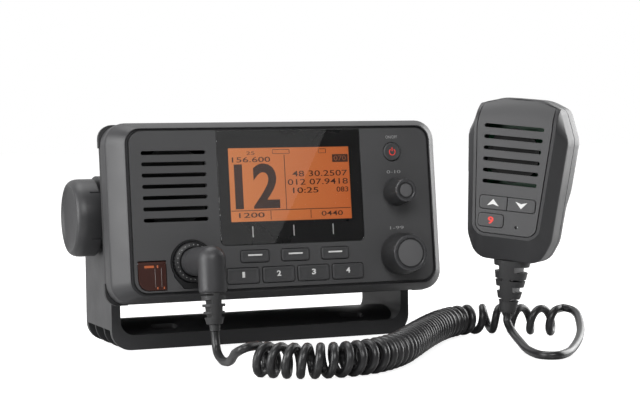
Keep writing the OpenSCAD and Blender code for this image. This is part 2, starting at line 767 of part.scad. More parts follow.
module keypad_mat() {
    mat_front = board_front - mat_t;
    dome_front = key_back + key_travel + 0.1;
    color([0.35, 0.35, 0.36]) on_radio() {
        face_slab(mat_front, board_front)
            translate([function_key_u, (soft_key_v + function_key_v) / 2])
                rounded_rect(4 * function_key_pitch, 17, 2);
        for (i = [1:3]) dome(soft_key_place(i));
        for (i = [1:4]) dome(function_key_place(i));
        face_slab(mat_front, board_front) translate([power_u, power_v]) circle(r = power_r + 1);
        dome([power_u, power_v]);
    }
    module dome(place) {
        face_slab(dome_front, mat_front + 0.1) translate(place) circle(r = 2.2, $fn = 24);
    }
}

module front_board() {
    left = -speaker_u + speaker_r + 1;
    right = panel_w / 2 - 3;
    top = panel_h / 2 - 3;
    bottom = -panel_h / 2 + 0.7;
    color([0.1, 0.35, 0.2]) on_radio() {
        face_slab(board_front, board_front + board_t) difference() {
            translate([left, bottom]) square([right - left, top - bottom]);
            socket_2d(1);
        }
        face_slab(key_back + 0.6 + key_travel + 0.1, board_front + board_t)
            translate([cover_u, cover_v - 0.9]) circle(r = 3, $fn = 24);
        face_slab(board_front, board_front + board_t) {
            translate([cover_u - 4, bottom]) square([8, 8]);
            translate([cover_u - 4, bottom]) square([left - cover_u + 5, 2.2]);
        }
    }
}

main_board_z = -20;
board_post_r = 3;
board_x = housing_w / 2 - housing_taper - 4;
board_y_front = -28;
board_y_back = housing_back - panel_ahead - 6;

module main_board() {
    hole_r = board_post_r - 1.4;
    color([0.1, 0.35, 0.2]) on_radio() translate([0, 0, main_board_z]) {
        difference() {
            translate([-board_x, board_y_front, 0])
                cube([2 * board_x, board_y_back - board_y_front, board_t]);
            for (p = board_posts) translate([p[0], p[1], -1]) cylinder(r = hole_r, h = 5);
        }
        for (x = [-48, 20]) translate([x, 22, board_t]) cube([26, 18, 12]);
        for (x = [-20:14:36]) translate([x, -16, board_t]) cylinder(r = 4, h = 11);
    }
}

board_posts = [for (x = [-1, 1]) for (y = [board_y_front + 8, board_y_back - 8])
               [x * (board_x - 6), y]];

module rf_shield() {
    color([0.75, 0.76, 0.78]) on_radio() difference() {
        translate([-18, 4, main_board_z + board_t]) cube([34, 44, 9]);
        translate([-17.6, 4.4, main_board_z + board_t - 1]) cube([33.2, 43.2, 9.6]);
    }
}

module housing_2d(inset = 0, taper = 0) {
    rounded_rect(housing_w - 2 * inset - 2 * taper, housing_h - 2 * inset, 5 - inset / 2, 4);
}

// The case's body between two depths, with sides that draw in towards the back
module housing_body(front, back, inset = 0) {
    translate([0, 0, panel_drop]) {
        face_slab(front, housing_taper_d) housing_2d(inset);
        hull() {
            face_slab(housing_taper_d - eps, housing_taper_d) housing_2d(inset);
            face_slab(back - eps, back) housing_2d(inset, housing_taper);
        }
    }
}

module rear_housing() {
    wall = 2.6;
    fin_t = 2.2;
    fin_span = 66;
    color([0.17, 0.17, 0.18]) on_radio() difference() {
        union() {
            difference() {
                union() {
                    housing_body(flange_front, housing_back);
                    face_slab(flange_front, flange_back) {
                        rounded_rect(face_w - 0.6, face_h - 0.6, bezel_corner_r - 0.3, 6);
                        for (su = [-1, 1]) for (sv = [-1, 1]) intersection() {
                            rounded_rect(face_w + 0.6, face_h + 0.6, 6.6, 6);
                            translate([su * face_w / 2, sv * face_h / 2]) square(21, center = true);
                        }
                    }
                    for (i = [0:fin_count - 1])
                        translate([(i - (fin_count - 1) / 2) * fin_span / (fin_count - 1) - fin_t / 2 + 2,
                                   housing_back - panel_ahead - 1, -housing_h / 2 + 4])
                            cube([fin_t, fin_d + 1, housing_h - 8]);
                }
                housing_body(flange_front - 1, housing_back - wall, wall);
            }
            for (s = [-1, 1]) translate([s * (housing_w / 2 - insert_l - 2), 0, 0]) rotate([0, s * 90, 0])
                cylinder(r = boss_r, h = insert_l + 1);
            for (p = board_posts) translate([p[0], p[1], -housing_h / 2 + 1])
                {
                    cylinder(r = board_post_r, h = main_board_z + housing_h / 2 - 1);
                    cylinder(r = board_post_r - 1.5, h = main_board_z + housing_h / 2 + board_t + 0.4);
                }
        }
        for (s = [-1, 1]) translate([s * (housing_w / 2 - insert_l), 0, 0]) rotate([0, s * 90, 0])
            cylinder(r = insert_r, h = insert_l + 1);
        for (s = [-1, 1]) translate([s * (housing_w / 2 - insert_l - 5), 0, 0]) rotate([0, s * 90, 0])
            cylinder(r = stud_r + 0.5, h = insert_l + 1);
        for (su = [-1, 1]) for (sv = [-1, 1])
            face_turned(su * screw_u, sv * screw_v, flange_back + 1)
                cylinder(r = screw_r + 0.15, h = flange_t + 2);
        face_turned(antenna_u, antenna_v, housing_back + 1) cylinder(r = antenna_thread_r - 1, h = 6);
        face_turned(power_in_u, power_in_v, housing_back + 1) cylinder(r = power_in_r + 1.2, h = 6);
    }
}

module housing_seal() {
    color([0.08, 0.08, 0.08]) on_radio() face_slab(bezel_d, flange_front) difference() {
        rounded_rect(face_w - 1.6, face_h - 1.6, bezel_corner_r - 0.8, 6);
        rounded_rect(face_w - 2 * plastic_wall - 1, face_h - 2 * plastic_wall - 1,
                     bezel_corner_r - plastic_wall, 6);
        for (su = [-1, 1]) for (sv = [-1, 1])
            translate([su * screw_u, sv * screw_v]) circle(r = screw_r + 2.2, $fn = 24);
    }
}

module housing_screws() {
    color([0.66, 0.67, 0.7]) on_radio() for (su = [-1, 1]) for (sv = [-1, 1])
        face_turned(su * screw_u, sv * screw_v, flange_back + 2.2) difference() {
            union() {
                cylinder(r = 2.8, h = 2.2);
                cylinder(r = screw_r, h = 2.2 + flange_t + seal_t + 6.5);
            }
            translate([0, 0, -1]) cylinder(r = 1.3, h = 2.2, $fn = 6);
        }
}

module antenna_socket() {
    color([0.78, 0.79, 0.8]) on_radio()
        face_turned(antenna_u, antenna_v, housing_back) mirror([0, 0, 1]) difference() {
            union() {
                translate([0, 0, 0]) linear_extrude(2) square([22, 22], center = true);
                cylinder(r = antenna_thread_r, h = 2 + antenna_thread_l);
                translate([0, 0, -4]) cylinder(r = antenna_thread_r - 1.05, h = 5);
            }
            translate([0, 0, 4]) cylinder(r = antenna_thread_r - 1.7, h = antenna_thread_l);
        }
}

module power_socket() {
    color([0.1, 0.1, 0.1]) on_radio()
        face_turned(power_in_u, power_in_v, housing_back) mirror([0, 0, 1]) difference() {
            union() {
                cylinder(r = power_in_r + 3, h = 2);
                cylinder(r = power_in_r + 1.6, h = power_in_floor + power_in_l);
                translate([0, 0, -4]) cylinder(r = power_in_r + 1.15, h = 5);
            }
            translate([0, 0, power_in_floor]) cylinder(r = power_in_r, h = power_in_l + 1);
        }
}

module pivot_inserts() {
    color([0.76, 0.6, 0.3]) on_radio() for (s = [-1, 1])
        translate([s * (housing_w / 2 - insert_l), 0, 0]) rotate([0, s * 90, 0]) difference() {
            cylinder(r = insert_r - 0.02, h = insert_l);
            translate([0, 0, -1]) cylinder(r = stud_r + 0.06, h = insert_l + 2);
        }
}

module friction_pads() {
    color([0.1, 0.1, 0.1]) on_radio() for (s = [-1, 1])
        translate([s * housing_w / 2, 0, 0]) rotate([0, s * 90, 0]) difference() {
            cylinder(r = 15, h = pad_t);
            translate([0, 0, -1]) cylinder(r = stud_r + 0.5, h = pad_t + 2);
        }
}

// ---------- microphone plug ----------

ring_out_r = plug_r + 3;
ring_front = -3.4;
ring_back = 1.6;
plug_nose_r = plug_r - 1.1;
plug_nose_l = 8;

module mic_socket() {
    color([0.08, 0.08, 0.09]) on_radio() difference() {
        union() {
            face_slab(-0.5, panel_t) socket_2d();
            face_turned(-socket_u, -socket_v, 14) cylinder(r = socket_r - 1, h = 14 - panel_t + 0.1);
        }
        face_turned(-socket_u, -socket_v, ring_back + run_gap)
            cylinder(r = ring_out_r + run_gap, h = 6);
        face_turned(-socket_u, -socket_v, plug_nose_l + 0.5)
            cylinder(r = plug_nose_r + 0.2, h = 12);
    }
}

module plug_elbow() {
    color([0.16, 0.16, 0.17]) on_radio() {
        face_turned(-socket_u, -socket_v, 0) cylinder(r = plug_r, h = plug_reach);
        face_turned(-socket_u, -socket_v, plug_nose_l) cylinder(r = plug_nose_r, h = plug_nose_l + 1);
        translate([-socket_u, -panel_ahead - plug_reach, -panel_drop - socket_v]) {
            sphere(r = plug_r);
            translate([0, 0, -plug_leg]) cylinder(r = plug_r, h = plug_leg);
        }
    }
}

// Knurled coupling ring that screws the plug to its socket
module plug_ring() {
    ribs = 24;
    color([0.06, 0.06, 0.07]) on_radio() face_turned(-socket_u, -socket_v, ring_back) difference() {
        cylinder(r = ring_out_r, h = ring_back - ring_front);
        translate([0, 0, -1]) cylinder(r = plug_r + run_gap, h = ring_back - ring_front + 2);
        for (i = [0:ribs - 1]) rotate(360 * i / ribs) translate([ring_out_r, 0, ring_back + 0.4])
            cylinder(r = 0.45, h = 8, $fn = 16);
    }
}

// Strain relief drawn downwards from z = 0: collars on a slim core, with slots between them
module strain_relief(top_r, tip_r, length) {
    pitch = length / 4;
    core_r = cord_d / 2 + 0.9;
    function r_at(z) = top_r + (tip_r - top_r) * z / length;
    mirror([0, 0, 1]) {
        cylinder(r = core_r, h = length);
        for (i = [0:3]) {
            from = i * pitch;
            thick = i == 3 ? pitch : pitch * (i % 2 == 0 ? 0.72 : 0.5);
            translate([0, 0, from]) cylinder(r1 = r_at(from), r2 = r_at(from + thick), h = thick);
        }
        for (s = [-1, 1]) translate([s * (core_r + 0.4), 0, pitch / 2]) linear_extrude(length - pitch)
            square([1.2, 1.8], center = true);
    }
}

module plug_relief() {
    color([0.16, 0.16, 0.17]) on_radio()
        translate([-socket_u, -panel_ahead - plug_reach, -panel_drop - socket_v - plug_leg])
            strain_relief(plug_r - 0.9, cord_d / 2 + 1.4, relief_l);
}

// ---------- cord ----------

module cord_lead() {
    color([0.12, 0.12, 0.13]) cord_tube(lead_line, relief_dir, start_dir, cord_sides);
}

module curly_cord() {
    color([0.12, 0.12, 0.13]) cord_tube(curly_line, start_dir, end_dir, curl_sides);
}

module cord_end() {
    color([0.12, 0.12, 0.13]) cord_tube(end_line, end_dir, -handset_tip_dir, cord_sides);
}

// ---------- handset ----------

// Right halves of the handset's outlines, as corners [x, z, radius]
handset_plate = [[15, -31, 4.5], [18.5, 22, 10], [17.8, 30.2, 2.5]];
handset_front = [[16.2, -32.6, 5.5], [19.7, 22, 10], [19, 31.2, 3]];
handset_widest = [
    [16.5, handset_bottom, 9], [22.4, -33, 14], [26.8, 17, 12], [22.5, 30.2, 6], [11, 34.4, 20]];
handset_rear = [[9, -35, 7], [15, -27, 9], [17.5, 10, 10], [15.5, 24, 8], [8, 28, 8]];

// The handset's body shape between two depths, moved inwards by inset
module handset_front_form(inset, front) {
    hull() {
        handset_slab(front, front + 0.5) polygon(outline(both_sides(grown(handset_front, -inset)), 4));
        handset_slab(handset_slope_d, handset_split)
            polygon(outline(both_sides(grown(handset_widest, -inset)), 4));
    }
}

module handset_rear_form(inset, back) {
    hull() {
        handset_slab(handset_split + eps, handset_side)
            polygon(outline(both_sides(grown(handset_widest, -inset)), 4));
        handset_slab(back - 0.5, back) polygon(outline(both_sides(grown(handset_rear, -inset)), 4));
    }
}

talk_from = handset_slope_d + 1;
talk_to = handset_side - 1;
talk_top = 24;
talk_bottom = -6;
talk_shoulder = 17;

// The left side of the handset runs from (-22.4, -33) to (-26.8, 17) and on to (-22.5, 30.2)
function side_x(z) = z < talk_shoulder ? -22.4 - 4.4 * (z + 33) / 50
    : -26.8 + 4.3 * (z - talk_shoulder) / 13.2;

module talk_button_form(proud, extra) {
    handset_slab(talk_from - extra, talk_to + extra) polygon(outline([
        [side_x(talk_shoulder) - proud, talk_shoulder, 6],
        [side_x(talk_top) - proud, talk_top + extra - 1.5, 1.5 + extra],
        [side_x(talk_top) + 3.4 + extra, talk_top + extra, 0.3],
        [side_x(talk_bottom) + 3.4 + extra, talk_bottom - extra, 0.3],
        [side_x(talk_bottom) - proud, talk_bottom - extra + 2, 1.5 + extra]], 3));
}

module handset_front_shell() {
    color([0.17, 0.17, 0.18]) on_handset() difference() {
        handset_front_form(0, 0.3);
        handset_front_form(handset_wall, handset_panel_t + 1.2);
        handset_slab(handset_split - eps, handset_split + 1)
            polygon(outline(both_sides(grown(handset_widest, -handset_wall)), 4));
        handset_slab(-1, handset_panel_t + 0.05)
            polygon(outline(both_sides(grown(handset_plate, 0.3)), 4));
        handset_slab(0, 6) polygon(outline(both_sides(grown(handset_plate, -1.6)), 4));
        talk_button_form(4, run_gap);
    }
}

module handset_rear_shell() {
    color([0.19, 0.19, 0.2]) on_handset() difference() {
        handset_rear_form(0, handset_d);
        handset_rear_form(handset_wall, handset_d - handset_wall);
        handset_slab(handset_split - 1, handset_split + 1)
            polygon(outline(both_sides(grown(handset_widest, -handset_wall)), 4));
        talk_button_form(4, run_gap);
        translate([0, handset_axis_y, handset_bottom - 1]) cylinder(r = 3.2, h = 6);
        for (p = handset_screw_places) translate([p[0], handset_d + 1, p[1]]) rotate([90, 0, 0])
            cylinder(r = 1.4, h = 6);
    }
}

handset_screw_places = [[-10, 20], [10, 20], [-9, -24], [9, -24]];

module handset_screws() {
    color([0.66, 0.67, 0.7]) on_handset() for (p = handset_screw_places)
        translate([p[0], handset_d + 1.4, p[1]]) rotate([90, 0, 0]) {
            cylinder(r = 2.4, h = 1.4);
            cylinder(r = 1.25, h = 7);
        }
}

module handset_key_2d(extra = 0) {
    rounded_rect(handset_key_w + 2 * extra, handset_key_h + 2 * extra, 1.6 + extra, 4);
}

module quick_key_2d(extra = 0) {
    rounded_rect(12.8 + 2 * extra, handset_key_h + 2 * extra, 1.6 + extra, 4);
}

module handset_panel() {
    color([0.27, 0.27, 0.28]) on_handset() handset_slab(0, handset_panel_t) difference() {
        polygon(outline(both_sides(handset_plate), 4));
        for (i = [0:handset_slots - 1])
            translate([0, 20.4 - i * handset_slot_pitch]) stadium(30 - 0.5 * i, 1.9);
        translate([0, handset_key_z]) handset_key_2d(fit);
        translate([quick_key_x, quick_key_z]) quick_key_2d(fit);
        translate([handset_mic_x, handset_mic_z]) circle(r = 0.8, $fn = 16);
    }
}

module handset_speaker() {
    color([0.1, 0.1, 0.1]) on_handset() translate([0, handset_panel_t + 0.1, 7]) rotate([-90, 0, 0])
        rotate_extrude() polygon([[0, 1.5], [11, 0.8], [13, 0], [13, 1.5], [8, 5.5], [0, 5.5]]);
}

module handset_microphone() {
    color([0.7, 0.7, 0.72]) on_handset()
        translate([handset_mic_x, handset_panel_t + 0.1, handset_mic_z]) rotate([-90, 0, 0])
            cylinder(r = 1.5, h = 2.4);
}

module handset_board() {
    color([0.1, 0.35, 0.2]) on_handset() {
        handset_slab(handset_split - 1.6, handset_split)
            polygon(outline(both_sides(grown(handset_plate, -0.6)), 2));
        translate([-12, handset_stem_back + 0.7, handset_key_z - 2])
            cube([24, handset_split - handset_stem_back - 1.2, 4]);
        translate([quick_key_x - 3, handset_stem_back + 0.7, quick_key_z - 2])
            cube([6, handset_split - handset_stem_back - 1.2, 4]);
    }
}

module handset_hanger() {
    color([0.55, 0.56, 0.58]) on_handset() translate([0, handset_d, 8]) rotate([-90, 0, 0])
        rotate_extrude() polygon([[0, 0], [4, 0], [4, 4], [6.5, 4.6], [6.5, 6], [5.8, 6.8], [0, 6.8]]);
}

module handset_relief() {
    color([0.16, 0.16, 0.17]) on_handset() translate([0, handset_axis_y, handset_bottom])
        strain_relief(8.6, cord_d / 2 + 2, handset_relief_l);
}

module talk_button() {
    color([0.12, 0.12, 0.13]) on_handset() talk_button_form(talk_travel + 0.2, 0);
}

// One half of the up and down rocker: -1 is the left half, 1 the right half
module rocker_half(side) {
    module half_2d(extra) {
        intersection() {
            translate([0, handset_key_z]) handset_key_2d(extra);
            translate([side * (handset_key_w / 2 + 0.15 - extra), handset_key_z])
                square([handset_key_w, 20], center = true);
        }
    }
    color([0.24, 0.24, 0.25]) on_handset() {
        handset_slab(-0.4, handset_cap_back) half_2d(0);
        handset_slab(handset_cap_back - eps, handset_stem_back) half_2d(-1.2);
    }
}

module up_key() {
    rocker_half(-1);
}

module down_key() {
    rocker_half(1);
}

module quick_key() {
    color([0.24, 0.24, 0.25]) on_handset() {
        handset_slab(-0.4, handset_cap_back) translate([quick_key_x, quick_key_z]) quick_key_2d();
        handset_slab(handset_cap_back - eps, handset_stem_back)
            translate([quick_key_x, quick_key_z]) quick_key_2d(-1.2);
    }
}

// ---------- the named pieces ----------

bracket();
clamp_washer(-1);  // left_washer
clamp_knob(-1);  // left_knob
clamp_stud(-1);  // left_stud
clamp_washer(1);  // right_washer
clamp_knob(1);  // right_knob
clamp_stud(1);  // right_stud
front_bezel();
front_panel();
display_glass();
lcd_module();
speaker();
keypad_mat();
front_board();
main_board();
rf_shield();
rear_housing();
housing_seal();
housing_screws();
antenna_socket();
power_socket();
pivot_inserts();
friction_pads();
mic_socket();
volume_encoder();
volume_shaft();
volume_knob();
select_encoder();
select_shaft();
select_knob();
power_button();
soft_key(1);  // soft_key_1
soft_key(2);  // soft_key_2
soft_key(3);  // soft_key_3
function_key(1);  // function_key_1
function_key(2);  // function_key_2
function_key(3);  // function_key_3
function_key(4);  // function_key_4
distress_cover();
distress_button();
cover_pin();
plug_elbow();
plug_ring();
plug_relief();
cord_lead();
curly_cord();
cord_end();
handset_front_shell();
handset_rear_shell();
handset_panel();
handset_relief();
handset_speaker();
handset_microphone();
handset_board();
handset_screws();
handset_hanger();
talk_button();
up_key();
down_key();
quick_key();
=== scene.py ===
"""Dressed model of a fixed-mount marine radio on its stand, with a fist microphone.

Pieces are modelled in millimetres, each in the frame of the thing that carries it, and are then
moved to their place in the part's own frame, in metres. The frame of the radio's face has x to the
right, y up along the face and z out of it. The handset's front plate has a frame of the same kind.
"""

import logging
import math
from contextlib import contextmanager
from dataclasses import dataclass, field
from enum import Enum
from typing import Iterator

import bmesh
import bpy
from mathutils import Matrix, Vector


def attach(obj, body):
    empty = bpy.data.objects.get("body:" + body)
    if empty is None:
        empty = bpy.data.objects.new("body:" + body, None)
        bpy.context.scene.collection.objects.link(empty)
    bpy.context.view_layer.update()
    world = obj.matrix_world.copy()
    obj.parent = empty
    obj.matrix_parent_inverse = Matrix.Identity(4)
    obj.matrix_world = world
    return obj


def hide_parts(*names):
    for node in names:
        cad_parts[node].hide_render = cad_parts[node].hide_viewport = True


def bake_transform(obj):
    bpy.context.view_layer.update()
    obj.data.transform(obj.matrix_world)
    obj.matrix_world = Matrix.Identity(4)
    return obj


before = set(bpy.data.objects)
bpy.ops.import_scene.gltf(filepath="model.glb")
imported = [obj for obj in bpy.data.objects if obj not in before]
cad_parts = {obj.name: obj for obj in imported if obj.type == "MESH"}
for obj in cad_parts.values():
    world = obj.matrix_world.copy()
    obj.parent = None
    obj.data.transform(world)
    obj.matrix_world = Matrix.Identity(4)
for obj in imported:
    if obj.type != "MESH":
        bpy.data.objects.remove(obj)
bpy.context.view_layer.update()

log = logging.getLogger("radio")

MM = 0.001
EM_PER_FIGURE = 1.4  # size of a typeface over the height of its figures
Point2 = tuple[float, float]
Corner = tuple[float, float, float]
Ring = list[Vector]


def _turn(degrees: float, axis: str) -> Matrix:
    """A rotation matrix about an axis."""
    return Matrix.Rotation(math.radians(degrees), 4, axis)


def _shift(x: float, y: float, z: float) -> Matrix:
    """A translation matrix."""
    return Matrix.Translation((x, y, z))


METRES = Matrix.Diagonal((MM, MM, MM, 1.0))
RADIO = METRES @ _shift(0, 0, 63.5) @ _turn(-5.75, "X")
FACE = RADIO @ _shift(0, -55.5, -1.2) @ _turn(90, "X")
PLUG = RADIO @ _shift(-48.2, -84, -25.4)
HANDSET_UPRIGHT = METRES @ _shift(99.7, -95.8, 84.2) @ _turn(-48, "Z") @ _turn(6, "Y")
HANDSET = HANDSET_UPRIGHT @ _turn(90, "X")


class Side(Enum):
    """One of the stand's two arms, with the sign of its place along x."""

    LEFT = -1
    RIGHT = 1

    @property
    def frame(self) -> Matrix:
        """Frame of the clamp knob on this side: z points outwards from the arm's outer face."""
        return METRES @ _shift(self.value * 78.6, 0, 63.5) @ _turn(self.value * 90, "Y")

    @property
    def word(self) -> str:
        """The side's name as it stands in the node names."""
        return self.name.lower()


# ---------------------------------------------------------------- finishes


@dataclass(frozen=True)
class Finish:
    """A moulded, painted or metal surface with its grain, its mottling and its uneven gloss."""

    name: str
    colour: tuple[float, float, float]
    roughness: float
    metallic: float = 0.0
    grain: float = 0.012
    grain_size: float = 0.35
    mottle: float = 0.12
    gloss_change: float = 0.06
    coat: float = 0.0
    glow: float = 0.0

    def material(self) -> bpy.types.Material:
        """Builds the material once, and gives the same one after that.

        Returns:
            The node material of this finish.
        """
        known = bpy.data.materials.get(self.name)
        if known is not None:
            return known
        made = bpy.data.materials.new(self.name)
        made.use_nodes = True
        nodes, links = made.node_tree.nodes, made.node_tree.links
        shader = nodes["Principled BSDF"]
        shader.inputs["Metallic"].default_value = self.metallic
        shader.inputs["Coat Weight"].default_value = self.coat
        shader.inputs["Coat Roughness"].default_value = 0.08
        place = nodes.new("ShaderNodeTexCoord")

        def noise(scale: float, detail: float) -> bpy.types.NodeSocket:
            """A noise pattern in the piece's own metres."""
            node = nodes.new("ShaderNodeTexNoise")
            node.inputs["Scale"].default_value = scale
            node.inputs["Detail"].default_value = detail
            links.new(place.outputs["Object"], node.inputs["Vector"])
            return node.outputs["Fac"]

        broad = noise(45.0, 3.0)
        fine = noise(1.0 / (self.grain_size * MM), 2.0)
        tint = nodes.new("ShaderNodeMix")
        tint.data_type = "RGBA"
        low, high = 1.0 - self.mottle, 1.0 + self.mottle
        tint.inputs[6].default_value = (*(c * low for c in self.colour), 1.0)
        tint.inputs[7].default_value = (*(min(c * high, 1.0) for c in self.colour), 1.0)
        links.new(broad, tint.inputs["Factor"])
        links.new(tint.outputs[2], shader.inputs["Base Color"])
        gloss = nodes.new("ShaderNodeMapRange")
        gloss.inputs["From Min"].default_value = 0.3
        gloss.inputs["From Max"].default_value = 0.7
        gloss.inputs["To Min"].default_value = max(self.roughness - self.gloss_change, 0.02)
        gloss.inputs["To Max"].default_value = min(self.roughness + self.gloss_change, 1.0)
        links.new(broad, gloss.inputs["Value"])
        links.new(gloss.outputs["Result"], shader.inputs["Roughness"])
        if self.grain > 0:
            bump = nodes.new("ShaderNodeBump")
            bump.inputs["Strength"].default_value = 1.0
            bump.inputs["Distance"].default_value = self.grain * MM
            links.new(fine, bump.inputs["Height"])
            links.new(bump.outputs["Normal"], shader.inputs["Normal"])
        if self.glow > 0:
            shader.inputs["Emission Strength"].default_value = self.glow
            links.new(tint.outputs[2], shader.inputs["Emission Color"])
        return made


@dataclass(frozen=True)
class ClearGlass:
    """Thin clear glass with a hard, even polish."""

    name: str
    colour: tuple[float, float, float] = (1.0, 1.0, 1.0)
    roughness: float = 0.0

    def material(self) -> bpy.types.Material:
        """Builds the material once, and gives the same one after that.

        Returns:
            The node material of this glass.
        """
        known = bpy.data.materials.get(self.name)
        if known is not None:
            return known
        made = bpy.data.materials.new(self.name)
        made.use_nodes = True
        nodes, links = made.node_tree.nodes, made.node_tree.links
        shader = nodes["Principled BSDF"]
        shader.inputs["Base Color"].default_value = (*self.colour, 1.0)
        shader.inputs["Transmission Weight"].default_value = 1.0
        shader.inputs["IOR"].default_value = 1.45
        place = nodes.new("ShaderNodeTexCoord")
        smears = nodes.new("ShaderNodeTexNoise")
        smears.inputs["Scale"].default_value = 90.0
        spread = nodes.new("ShaderNodeMapRange")
        spread.inputs["To Min"].default_value = self.roughness
        spread.inputs["To Max"].default_value = self.roughness + 0.02
        links.new(place.outputs["Object"], smears.inputs["Vector"])
        links.new(smears.outputs["Fac"], spread.inputs["Value"])
        links.new(spread.outputs["Result"], shader.inputs["Roughness"])
        return made


@dataclass(frozen=True)
class LitScreen:
    """Backlit dot-matrix screen: warm light that falls off to one side, cut by a fine dot grid."""

    name: str
    bright: tuple[float, float, float] = (0.62, 0.2, 0.055)
    dim: tuple[float, float, float] = (0.5, 0.11, 0.02)
    pitch: float = 0.42
    strength: float = 0.78

    def material(self) -> bpy.types.Material:
        """Builds the material.

        Returns:
            The node material of the screen.
        """
        made = bpy.data.materials.new(self.name)
        made.use_nodes = True
        nodes, links = made.node_tree.nodes, made.node_tree.links
        shader = nodes["Principled BSDF"]
        shader.inputs["Roughness"].default_value = 0.55
        place = nodes.new("ShaderNodeTexCoord")
        split = nodes.new("ShaderNodeSeparateXYZ")
        links.new(place.outputs["Object"], split.inputs["Vector"])
        across = nodes.new("ShaderNodeMapRange")
        across.inputs["From Min"].default_value = -27 * MM
        across.inputs["From Max"].default_value = 34 * MM
        links.new(split.outputs["X"], across.inputs["Value"])
        blend = nodes.new("ShaderNodeMix")
        blend.data_type = "RGBA"
        blend.inputs[6].default_value = (*self.bright, 1.0)
        blend.inputs[7].default_value = (*self.dim, 1.0)
        links.new(across.outputs["Result"], blend.inputs["Factor"])
        dots = None
        for axis in ("X", "Z"):
            wave = nodes.new("ShaderNodeMath")
            wave.operation = "PINGPONG"
            wave.inputs[1].default_value = self.pitch * MM / 2
            links.new(split.outputs[axis], wave.inputs[0])
            line = nodes.new("ShaderNodeMath")
            line.operation = "GREATER_THAN"
            line.inputs[1].default_value = self.pitch * MM * 0.06
            links.new(wave.outputs["Value"], line.inputs[0])
            if dots is None:
                dots = line.outputs["Value"]
                continue
            both = nodes.new("ShaderNodeMath")
            both.operation = "MULTIPLY"
            links.new(dots, both.inputs[0])
            links.new(line.outputs["Value"], both.inputs[1])
            dots = both.outputs["Value"]
        grid = nodes.new("ShaderNodeMapRange")
        grid.inputs["To Min"].default_value = 0.86
        links.new(dots, grid.inputs["Value"])
        lit = nodes.new("ShaderNodeVectorMath")
        lit.operation = "SCALE"
        links.new(blend.outputs[2], lit.inputs[0])
        links.new(grid.outputs["Result"], lit.inputs["Scale"])
        links.new(lit.outputs["Vector"], shader.inputs["Emission Color"])
        shader.inputs["Emission Strength"].default_value = self.strength
        shader.inputs["Base Color"].default_value = (0.12, 0.035, 0.01, 1.0)
        return made


SATIN_GREY = Finish("satin grey plastic", (0.034, 0.034, 0.036), 0.42)
STAND_GREY = Finish("stand plastic", (0.034, 0.034, 0.036), 0.4, grain=0.016)
PANEL_GREY = Finish("face panel plastic", (0.062, 0.062, 0.064), 0.55, grain=0.014, grain_size=0.3)
KEY_GREY = Finish("key silicone", (0.05, 0.05, 0.052), 0.5, grain=0.01)
# The knob's skirt finish is darker and its cap disc finish lighter than the rim: painted shade on
# the sides, painted light on the front.
KNOB_SHADED_GREY = Finish("knob plastic with painted shade", (0.02, 0.02, 0.021), 0.42)
KNOB_RIM_GREY = Finish("knob rim plastic", (0.055, 0.055, 0.058), 0.25)
KNOB_CAP_LIT_GREY = Finish("knob cap plastic with painted light", (0.12, 0.12, 0.123), 0.42)
SOCKET_BLACK = Finish("socket plastic", (0.008, 0.008, 0.009), 0.45, grain=0.02)
BLACK_MASK = Finish("printed black", (0.004, 0.004, 0.0045), 0.3, grain=0.0, mottle=0.05)
GRIP_BLACK = Finish("grip rubber", (0.02, 0.02, 0.021), 0.6, grain=0.03, grain_size=0.6)
RELIEF_RUBBER = Finish("relief rubber", (0.03, 0.03, 0.031), 0.5, grain=0.015)
CORD_JACKET = Finish("cord jacket", (0.017, 0.017, 0.018), 0.34, grain=0.01, grain_size=0.5)
CAST_PAINT = Finish("cast housing paint", (0.022, 0.022, 0.023), 0.5, grain=0.035, grain_size=0.5)
SEAL_RUBBER = Finish("seal rubber", (0.01, 0.01, 0.01), 0.7)
STEEL = Finish("turned steel", (0.56, 0.57, 0.59), 0.3, metallic=1.0, grain=0.004, grain_size=0.12)
NICKEL = Finish("nickel plate", (0.66, 0.64, 0.6), 0.2, metallic=1.0, grain=0.003)
BRASS = Finish("turned brass", (0.6, 0.42, 0.16), 0.3, metallic=1.0, grain=0.004, grain_size=0.12)
TINNED = Finish("tinned sheet", (0.6, 0.61, 0.62), 0.35, metallic=1.0, grain=0.01, grain_size=2.0)
BOARD_GREEN = Finish("circuit board", (0.01, 0.09, 0.035), 0.4, grain=0.01, grain_size=1.2)
CONE_BLACK = Finish("speaker cone", (0.006, 0.006, 0.006), 0.8, grain=0.05, grain_size=0.8)
WHITE_PRINT = Finish("white print", (0.75, 0.75, 0.74), 0.5, grain=0.004, mottle=0.03)
# Grey print, also used for the painted highlights on the coupling ring.
GREY_PRINT_AND_GLINTS = Finish("grey print and painted glints", (0.33, 0.33, 0.33), 0.5, grain=0.004, mottle=0.03)
RED_PRINT = Finish("lit red print", (0.62, 0.04, 0.03), 0.5, grain=0.004, mottle=0.05, glow=0.35)
DARK_SEGMENT = Finish("screen segment", (0.06, 0.018, 0.008), 0.5, grain=0.0, mottle=0.05)
PALE_SEGMENT = Finish("pale screen segment", (0.2, 0.06, 0.02), 0.5, grain=0.0, mottle=0.05,
                      glow=0.4)
COVER_RED = Finish("cover plastic", (0.045, 0.014, 0.01), 0.25, grain=0.006, mottle=0.25, coat=0.4)
# The tabs' faint glow is painted light.
TAB_ORANGE_GLOWING = Finish("tab plastic with painted glow", (0.42, 0.1, 0.03), 0.35, grain=0.006, glow=0.15)
BUTTON_RED = Finish("button plastic", (0.4, 0.02, 0.015), 0.35)
PANE = ClearGlass("display pane")


# ---------------------------------------------------------------- modelling


def only(obj: bpy.types.Object) -> None:
    """Makes obj the one selected and active object."""
    bpy.ops.object.select_all(action="DESELECT")
    obj.select_set(True)
    bpy.context.view_layer.objects.active = obj


